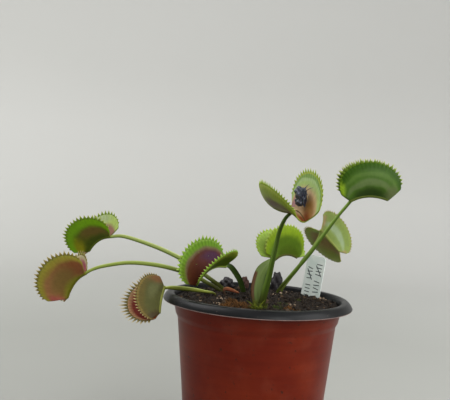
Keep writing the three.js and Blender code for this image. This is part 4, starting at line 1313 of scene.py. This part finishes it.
def closeness(places, x, y):
    """How near a point lies to any of some places, from 0 to 1."""
    return max(math.exp(-((x - px) ** 2 + (y - py) ** 2) / (r * r)) for px, py, r in places)


def inside_of_pot():
    """The corners of the pot's inner side, as radius and height, from the floor up."""
    wall, shift = POT["wall"], POT["shift"]
    step, rise = POT["step"]
    return [
        (POT["base"] - wall - shift, POT["floor"]),
        (POT["waist"][0] - wall, POT["waist"][1]),
        (step - wall, rise + shift),
        (step + POT["step_width"] - wall, rise + POT["step_rise"] + shift),
        (POT["collar_top"][0] - wall, POT["collar_top"][1] + POT["collar_shift"]),
    ]


def soil_top(material):
    """The soil's uneven top as an open surface, with an attribute for each thing that is strewn on it.

    Returns the mesh with its points and faces."""
    flat = [(0, 0)]
    for k in range(1, SOIL_RINGS + 1):
        flat += around(SOIL["radius"] * k / SOIL_RINGS, SOIL_SIDES)
    points = [(x, y, soil_height(x, y) + crumbled(x, y)) for x, y in flat]
    faces = []
    for i in range(SOIL_SIDES):
        j = (i + 1) % SOIL_SIDES
        faces.append((0, 1 + i, 1 + j))
        for k in range(SOIL_RINGS - 1):
            a, b = 1 + k * SOIL_SIDES + i, 1 + k * SOIL_SIDES + j
            faces.append((a, a + SOIL_SIDES, b + SOIL_SIDES, b))
    mesh = mesh_of("soil_top", points, faces, [material])
    put(mesh, "everywhere", "FLOAT", np.ones(len(points)))
    for name, places in PLACES.items():
        put(mesh, name, "FLOAT", [closeness(places, x, y) for x, y in flat])
    return mesh, points, faces


def soil_block(material, points, faces):
    """The soil as a closed block: its top, then down the inside of the pot."""
    points, faces = list(points), list(faces)
    sides, gap = SOIL_SIDES, SOIL["gap"]
    floor = POT["floor"] + gap
    above = 1 + (SOIL_RINGS - 1) * sides
    for radius, height in reversed(inside_of_pot()[:-1]):
        ring = len(points)
        points += [(x, y, max(height, floor)) for x, y in around(radius - gap, sides)]
        for i in range(sides):
            j = (i + 1) % sides
            faces.append((above + i, ring + i, ring + j, above + j))
        above = ring
    points.append((0, 0, floor))
    faces += [(above + (i + 1) % sides, above + i, len(points) - 1) for i in range(sides)]
    return face_outwards(mesh_of("soil", points, faces, [material]))


def rough_ball(name, seed, stretch=(1, 1, 1), rough=0.5):
    """A small broken lump about one unit in radius."""
    shell = bmesh.new()
    bmesh.ops.create_icosphere(shell, subdivisions=1, radius=1)
    for vert in shell.verts:
        size = 1 + rough * noise.noise(vert.co * 1.3 + Vector((seed, 0, 0)))
        vert.co = Vector(c * s * size for c, s in zip(vert.co, stretch))
    return show(name, mesh_from(name, shell))


def moss_blade(name, half_width):
    """A three-sided blade one unit long that bends over."""
    sections = [(0, 1.0, 0), (0.4, 0.95, 0.05), (0.75, 0.55, 0.2), (1.0, 0.06, 0.42)]
    stations = [(z, lean, 0, share * half_width, 0.6 * share * half_width) for z, share, lean in sections]
    return show(name, spike(name, stations, 3))


def strew(name, top, shape, material, times=1.0, largest=None):
    """Strews a shape over the soil by its row of the table, with the row's density times a number. A
    largest size that is given goes before the row's."""
    where, density, smallest, usual_largest, tilt, sink, seed = STREWN[name]
    values = {"Shape": shape, "Where": where, "Density": density * times * PER_SQUARE_CM,
              "Smallest": smallest * MM, "Largest": (largest or usual_largest) * MM, "Tilt": tilt,
              "Sink": sink, "Seed": seed, "Material": material}
    return grow(name, top.copy(), shared_tree(scatter_tree), values)


# Operators

class MakePot(bpy.types.Operator):
    """Make the two-colour pot with its rolled lip and drainage holes"""

    bl_idname = "flytrap.make_pot"
    bl_label = "Pot"

    def profile(self):
        """The wall's outline, up outside and down inside, and which finish each stretch of it shows."""
        under, edge_band, over = ([(r, POT["height"] - depth, *more) for r, depth, *more in stretch]
                                  for stretch in (LIP_UNDER, LIP_EDGE, LIP_OVER))
        soft, base = POT_ROUNDING, POT["base"]
        step, rise = POT["step"]
        outside = [
            (0, 0), (base - soft["base"], 0, soft["base"]), (base, soft["base"], soft["base"]),
            (*POT["waist"], soft["waist"]), (step, rise, soft["step"]),
            (step + POT["step_width"], rise + POT["step_rise"], soft["shoulder"]),
            (*POT["collar_top"], soft["collar"]), *under,
        ]
        over += [*[(r, z, soft["inside"]) for r, z in reversed(inside_of_pot())], (0, POT["floor"])]
        points, kinds = [], []
        for kind, stretch in enumerate((outside, edge_band, over)):
            line = rounded(stretch, soft["other"])
            line = [p for p, q in zip(line, line[1:] + [None]) if q is None or math.dist(p, q) > 1e-4]
            points += line if not points else line[1:]
            kinds += [kind] * (len(line) - 1)
        return points, kinds

    def drains(self):
        """The cutters of the drainage holes."""
        shell = bmesh.new()
        radius = DRAIN["radius"] * MM
        for x, y in around(DRAIN["circle"] * MM, DRAIN["count"], 0.5):
            bmesh.ops.create_cone(shell, cap_ends=True, segments=DRAIN["sides"], radius1=radius,
                                  radius2=radius, depth=DRAIN["depth"] * MM,
                                  matrix=Matrix.Translation((x, y, 0)))
        return show("drains", mesh_from("drains", shell))

    def execute(self, context):
        colours, sizes = context.scene.flytrap_colours, context.scene.flytrap_sizes
        # Polypropylene, torn by the trimming: dull and a little paler where it was stretched
        edge = plain_material("polypropylene, cut edge", colours.lip_edge, linear("#6f5a56"), 4, 0.5, 0.05)
        materials = [terracotta_material(colours.terracotta), edge, black_material(colours.black)]
        points, kinds = self.profile()
        pot = show("pot_formed", spin("pot_formed", points, sizes.pot_sides, materials, kinds))
        drains = self.drains()
        cut = pot.modifiers.new("Drains", "BOOLEAN")
        cut.operation = "DIFFERENCE"
        cut.solver = "EXACT"
        cut.object = drains
        made_plain(pot).data.set_sharp_from_angle(angle=math.radians(SHARP_ANGLE))
        bpy.data.objects.remove(drains)
        hand_over(pot, "pot", "pot")
        return {"FINISHED"}


class MakeSoil(bpy.types.Operator):
    """Make the soil with its crumbs, fibres, light bits and moss"""

    bl_idname = "flytrap.make_soil"
    bl_label = "Soil"

    def execute(self, context):
        colours, sizes = context.scene.flytrap_colours, context.scene.flytrap_sizes
        damp = {"roughness": 0.8, "sheen": 0.2}
        peat = crumb_material("peat, damp and crumbly", colours.soil, colours.soil_light, 0.18, **damp)
        fibre = crumb_material("bark fibre, dry", colours.soil, colours.soil_light, 0.3)
        bits = crumb_material("perlite and dry bits", linear("#6f5f4e"), colours.perlite, 0.7)
        moss = crumb_material("moss, green", linear("#26300f"), colours.moss, 0.8, **damp)
        rust = crumb_material("moss, rusty", linear("#3e2a14"), colours.moss_rust, 0.8, **damp)
        top, points, faces = soil_top(peat)
        block = show("soil_block", soil_block(peat, points, faces))
        shapes = [rough_ball("crumb", 1.0, rough=0.35), rough_ball("speck", 5.0),
                  rough_ball("sliver", 9.0, (0.16, 0.3, 1.6)), moss_blade("moss_blade", 0.16),
                  moss_blade("moss_strand", 0.065)]
        crumb, speck, sliver, blade, strand = shapes
        dense = sizes.crumb_density
        soil = joined("soil_crumbly", [
            block,
            strew("crumbs", top, crumb, peat, dense, sizes.crumb),
            strew("specks", top, speck, peat, dense),
            strew("slivers", top, sliver, fibre, dense),
        ])
        hand_over(soil, "soil", "soil")
        hand_over(strew("light_bits_strewn", top, crumb, bits), "soil")
        tuft = crumb_material("moss, yellow-green", linear("#2c360e"), linear("#76801c"), 0.8,
                              roughness=0.7, sheen=0.2)
        green = joined("moss_green", [
            strew("moss_low", top, blade, moss),
            strew("moss_sprigs", top, strand, tuft),
            strew("moss_tufts", top, strand, tuft, largest=sizes.moss_height),
        ])
        hand_over(green, "soil")
        hand_over(strew("moss_rusty", top, blade, rust), "soil")
        for shape in shapes:
            bpy.data.objects.remove(shape)
        bpy.data.meshes.remove(top)
        return {"FINISHED"}


class MakeLeaves(bpy.types.Operator):
    """Make the eight leaves with their traps, teeth and trigger hairs"""

    bl_idname = "flytrap.make_leaves"
    bl_label = "Leaves"

    def execute(self, context):
        thorn = show("thorn", thorn_shape())
        for number, name in enumerate(LEAVES):
            colours = context.scene.flytrap_leaves[name]
            LeafMaker(name, number, colours, context.scene.flytrap_sizes).make(thorn)
        bpy.data.objects.remove(thorn)
        return {"FINISHED"}


def crumpled_mesh(name, at, radii, seed, material, depth):
    """A dry lump with broad folds, and ridges of a given depth on them."""
    shell = bmesh.new()
    bmesh.ops.create_icosphere(shell, subdivisions=5, radius=1)
    for vert in shell.verts:
        x, y, z = vert.co
        folds = (math.sin(FOLDS["x"] * x + seed) * math.sin(FOLDS["z"] * z - seed)
                 + FOLDS["y_share"] * math.sin(FOLDS["y"] * y + seed))
        ridges = noise.ridged_multi_fractal(vert.co * RIDGES["scale"] + Vector((seed, seed, 0)),
                                            *RIDGES["fractal"])
        size = 1 + FOLDS["height"] * folds + depth * RIDGES["height"] * (ridges - RIDGES["level"])
        vert.co = Vector(c + p * r * size for c, p, r in zip(at, (x, y, z), radii)) * MM
    mesh = mesh_from(name, shell)
    mesh.materials.append(material)
    mesh.polygons.foreach_set("use_smooth", [True] * len(mesh.polygons))
    return mesh


class MakeWithered(bpy.types.Operator):
    """Make the withered leaf, the two blackened traps and the bark chip"""

    bl_idname = "flytrap.make_withered"
    bl_label = "Withered pieces"

    def execute(self, context):
        colours = context.scene.flytrap_colours
        # A dead leaf, dried black: dull, with a papery grain. Bark: rough, without any gloss.
        finishes = {
            "withered_trap": plain_material("dry leaf, blackened", colours.withered, linear("#2c262a"),
                                            0.9, 0.55, 0.3),
            "bark": plain_material("bark, rough", colours.bark, linear("#5c3d33"), 1.2, 0.85, 0.4),
        }
        for name, lump in LUMPS.items():
            mesh = crumpled_mesh(f"{name}_dry", lump["at"], lump["radii"], lump["seed"],
                                 finishes[lump["slot"]], LUMP_DEPTH)
            hand_over(show(f"{name}_dry", mesh), lump["slot"], name)
        # The dark foot colour, to the share 0.66 of the length, is painted shadow where the leaf's leg goes
        # down to the soil
        dry = stalk_material("dry leaf, reddish", colours.dry_leaf, linear("#8c5a3a"), linear("#56301e"),
                             linear("#2e2014"), foot_top=0.66)
        route, widths = rooted(WITHERED_LEAF["route"], WITHERED_LEAF["half_widths"])
        leaf = sweep("withered_leaf_dry", route, widths, WITHERED_LEAF["half_thickness"], dry,
                     fold=WITHERED_LEAF["fold"])
        hand_over(leaf, "withered_leaf", "withered_leaf")
        return {"FINISHED"}


class MakeLabel(bpy.types.Operator):
    """Make the plant label with plain pencil strokes"""

    bl_idname = "flytrap.make_label"
    bl_label = "Plant label"

    def execute(self, context):
        colours = context.scene.flytrap_colours
        # Polystyrene, moulded: an even satin white. Pencil: soft and grey, a little uneven.
        plastic = plain_material("polystyrene, white, satin", colours.label, linear("#c8d4ce"), 5, 0.4, 0.03)
        pencil = plain_material("pencil", colours.pencil, linear("#36444a"), 0.8, 0.6, 0.0)
        made = joined("plant_label_plain", [show("label", self.tag(plastic)),
                                            show("strokes", self.strokes(pencil))])
        made.data.transform(Matrix.Translation(Vector(LABEL_PLACE["at"]) * MM)
                            @ Matrix.Rotation(math.radians(-LABEL_PLACE["turned"]), 4, "Z")
                            @ Matrix.Rotation(math.radians(LABEL_PLACE["leaning"]), 4, "Y"))
        hand_over(made, "plant_label", "plant_label")
        return {"FINISHED"}

    @staticmethod
    def tag(material):
        """The tag, with two round corners at its top, a point in the soil and softened edges."""
        half, top, foot = LABEL["width"] / 2, LABEL["height"], -LABEL["buried"]
        corner, shoulder = LABEL["corner"], foot + LABEL["point"]
        outline = rounded([(0, foot), (half, shoulder, LABEL["point_corner"]), (half, top), (-half, top),
                           (-half, shoulder, LABEL["point_corner"]), (0, foot)], corner, 8)[:-1]
        depth, count = LABEL["thickness"] / 2, len(outline)
        points = [(x, y, z) for y in (-depth, depth) for x, z in outline]
        faces = [tuple(range(count)), tuple(reversed(range(count, 2 * count)))]
        faces += [(i, i + count, (i + 1) % count + count, (i + 1) % count) for i in range(count)]
        mesh = face_outwards(mesh_of("label", points, faces, [material], smooth=False))
        shell = bmesh.new()
        shell.from_mesh(mesh)
        edges = [e for e in shell.edges if abs(e.verts[0].co.y - e.verts[1].co.y) < 1e-7]
        bmesh.ops.bevel(shell, geom=edges, offset=LABEL["bevel"] * MM, segments=2, profile=0.6,
                        affect="EDGES")
        shell.to_mesh(mesh)
        shell.free()
        return mesh

    @staticmethod
    def strokes(material):
        """Tally strokes in two columns, drawn as thin raised lines on the front."""
        lines = []
        for column, (left, right) in enumerate(STROKES["columns"]):
            for k in range(STROKES["count"]):
                z = STROKES["top"] - STROKES["lower"] * column - STROKES["spacing"] * k
                if k % STROKES["every"] == STROKES["every"] - 1:
                    high, low = STROKES["slash"]
                    lines.append((left - STROKES["longer"], z + high, right + STROKES["longer"], z + low))
                else:
                    lean = STROKES["lean"] * math.sin(3 * k + column)
                    lines.append((left, z + lean, right, z - lean))
        front = -LABEL["thickness"] / 2
        box = [(0, 1, 2, 3), (7, 6, 5, 4), (0, 4, 5, 1), (1, 5, 6, 2), (2, 6, 7, 3), (3, 7, 4, 0)]
        points, faces = [], []
        for x0, z0, x1, z1 in lines:
            side = Vector((z1 - z0, x0 - x1)).normalized() * STROKES["width"] / 2
            faces += [tuple(len(points) + i for i in face) for face in box]
            for y in (front + STROKES["sunk"], front - STROKES["proud"]):
                for x, z, sign in ((x0, z0, 1), (x1, z1, 1), (x1, z1, -1), (x0, z0, -1)):
                    points.append((x + sign * side.x, y, z + sign * side.y))
        return face_outwards(mesh_of("strokes", points, faces, [material], smooth=False))


class MakeHusk(bpy.types.Operator):
    """Make the insect husk with its thin legs"""

    bl_idname = "flytrap.make_husk"
    bl_label = "Insect husk"

    def execute(self, context):
        colours = context.scene.flytrap_colours
        # Insect shell: hard and satin under a thin varnish, with small bright lights on its bumps
        shell = plain_material("insect shell, blue-black, satin", colours.husk, linear("#3a4054"), 1.1, 0.32,
                               0.12, varnish=0.2)
        leaf = LEAVES[HUSK["leaf"]]
        trap = Trap(leaf, 0)
        lobe = leaf["lobes"][HUSK["lobe"]]
        along, up = HUSK["seat"]
        seat = trap.plain(lobe, along, up)
        inwards = trap.inward(lobe, along, up)
        upwards = unit(trap.plain(lobe, along, up + 0.1) - seat)
        pieces = []
        for k, (lift, climb, radii) in enumerate(HUSK["segments"]):
            at = seat + inwards * lift + upwards * climb
            mesh = crumpled_mesh(f"segment_{k}", at, radii, 2 + k, shell, HUSK_DEPTH)
            pieces.append(show(f"segment_{k}", mesh))
        lift, climb = HUSK["middle"]
        middle = seat + inwards * lift + upwards * climb
        (bent_at, knee_nearer), (onwards, tip_nearer) = HUSK["knee"], HUSK["tip"]
        for k, (side, climb, foot) in enumerate(HUSK["legs"]):
            knee = middle + trap.x * side + upwards * climb * bent_at - inwards * knee_nearer
            tip = knee + trap.x * side * onwards + upwards * math.copysign(foot, climb) - inwards * tip_nearer
            pieces.append(sweep(f"leg_{k}", [middle, knee, tip], HUSK["leg_half_widths"],
                                HUSK["leg_half_thickness"], shell, steps=12))
        hand_over(joined("insect_husk_dry", pieces), "insect_husk", "insect_husk")
        return {"FINISHED"}


class MakeStage(bpy.types.Operator):
    """Make the pale floor and backdrop, the soft lights and the camera"""

    bl_idname = "flytrap.make_stage"
    bl_label = "Studio"

    def execute(self, context):
        scene = context.scene
        colours, parts = scene.flytrap_colours, STUDIO_MESH
        paint = backdrop_material(colours.floor, colours.backdrop)
        flat, curve, height = STUDIO["flat"], STUDIO["curve"], STUDIO["height"]
        turns = np.linspace(0, math.pi / 2, parts["arc"])
        arc = [(flat + curve * math.sin(t), curve * (1 - math.cos(t))) for t in turns]
        rings = [(r, 0) for r in np.linspace(parts["middle"], flat, parts["rings"])]
        profile = [(0, 0), *rings, *arc[1:], (flat + curve, height)]
        floor = show("floor", spin("floor", profile, parts["sides"], [paint], [0] * (len(profile) - 1)))
        for name, (at, size, power) in LIGHTS.items():
            self.light(name, at, STUDIO["aim"], size, power)
        world = bpy.data.worlds.new("soft room")
        scene.world = world
        world.use_nodes = True
        sky = world.node_tree.nodes["Background"]
        sky.inputs["Color"].default_value = linear(STUDIO["sky"])
        sky.inputs["Strength"].default_value = STUDIO["sky_strength"]
        scene.view_settings.view_transform = "Standard"
        self.camera(scene)
        return {"FINISHED"}

    @staticmethod
    def light(name, at, target, size, power):
        lamp = bpy.data.lights.new(name, "AREA")
        lamp.shape = "SQUARE"
        lamp.size = size * MM
        lamp.energy = power
        holder = show(name, lamp)
        holder.location = Vector(at) * MM
        holder.rotation_euler = (Vector(target) - Vector(at)).to_track_quat("-Z", "Y").to_euler()
        holder.visible_camera = False

    @staticmethod
    def camera(scene):
        """The camera from its place, yaw, pitch and roll."""
        lens = bpy.data.cameras.new("camera")
        lens.lens = CAMERA["lens"]
        lens.sensor_width = CAMERA["sensor"]
        lens.clip_start = CAMERA["nearest"] * MM
        yaw, pitch, roll = (math.radians(CAMERA[k]) for k in ("yaw", "pitch", "roll"))
        ahead = Vector((math.sin(yaw) * math.cos(pitch), math.cos(yaw) * math.cos(pitch), math.sin(pitch)))
        right = ahead.cross(Vector((0, 0, 1))).normalized()
        up = right.cross(ahead)
        across = right * math.cos(roll) + up * math.sin(roll)
        upright = -right * math.sin(roll) + up * math.cos(roll)
        turn = Matrix((across, upright, -ahead)).transposed().to_4x4()
        scene.camera = show("camera", lens)
        scene.camera.matrix_world = Matrix.Translation(Vector(CAMERA["at"]) * MM) @ turn


MAKERS = (MakePot, MakeSoil, MakeLeaves, MakeWithered, MakeLabel, MakeHusk, MakeStage)


class FlytrapPanel(bpy.types.Panel):
    """Lists the pieces of the plant with their sizes and colours"""

    bl_idname = "VIEW3D_PT_flytrap"
    bl_label = "Potted flytrap"
    bl_space_type = "VIEW_3D"
    bl_region_type = "UI"
    bl_category = "Flytrap"

    def draw(self, context):
        for maker in MAKERS:
            self.layout.operator(maker.bl_idname)
        for group in (context.scene.flytrap_sizes, context.scene.flytrap_colours):
            for name in group.__annotations__:
                self.layout.prop(group, name)


CLASSES = (PlantSizes, PlantColours, LeafColours, *MAKERS, FlytrapPanel)


def register():
    for item in CLASSES:
        bpy.utils.register_class(item)
    bpy.types.Scene.flytrap_sizes = bpy.props.PointerProperty(type=PlantSizes)
    bpy.types.Scene.flytrap_colours = bpy.props.PointerProperty(type=PlantColours)
    bpy.types.Scene.flytrap_leaves = bpy.props.CollectionProperty(type=LeafColours)


def unregister():
    del bpy.types.Scene.flytrap_leaves
    del bpy.types.Scene.flytrap_colours
    del bpy.types.Scene.flytrap_sizes
    for item in reversed(CLASSES):
        bpy.utils.unregister_class(item)


def list_leaves(scene):
    """Gives each leaf its own colours, which a user can change."""
    for name, leaf in LEAVES.items():
        colours = scene.flytrap_leaves.add()
        colours.name = name
        foot, tip = leaf["tooth_colours"]
        for part, code in zip(("petiole", "petiole_left", "petiole_right", "petiole_foot"), leaf["petiole"]):
            setattr(colours, part, skin(code))
        colours.rib = skin(leaf["rib"])
        colours.tooth, colours.tooth_tip = skin(foot), skin(tip)


def main():
    register()
    list_leaves(bpy.context.scene)
    for maker in MAKERS:
        area, name = maker.bl_idname.split(".")
        getattr(getattr(bpy.ops, area), name)()


if __name__ == "__main__":
    main()
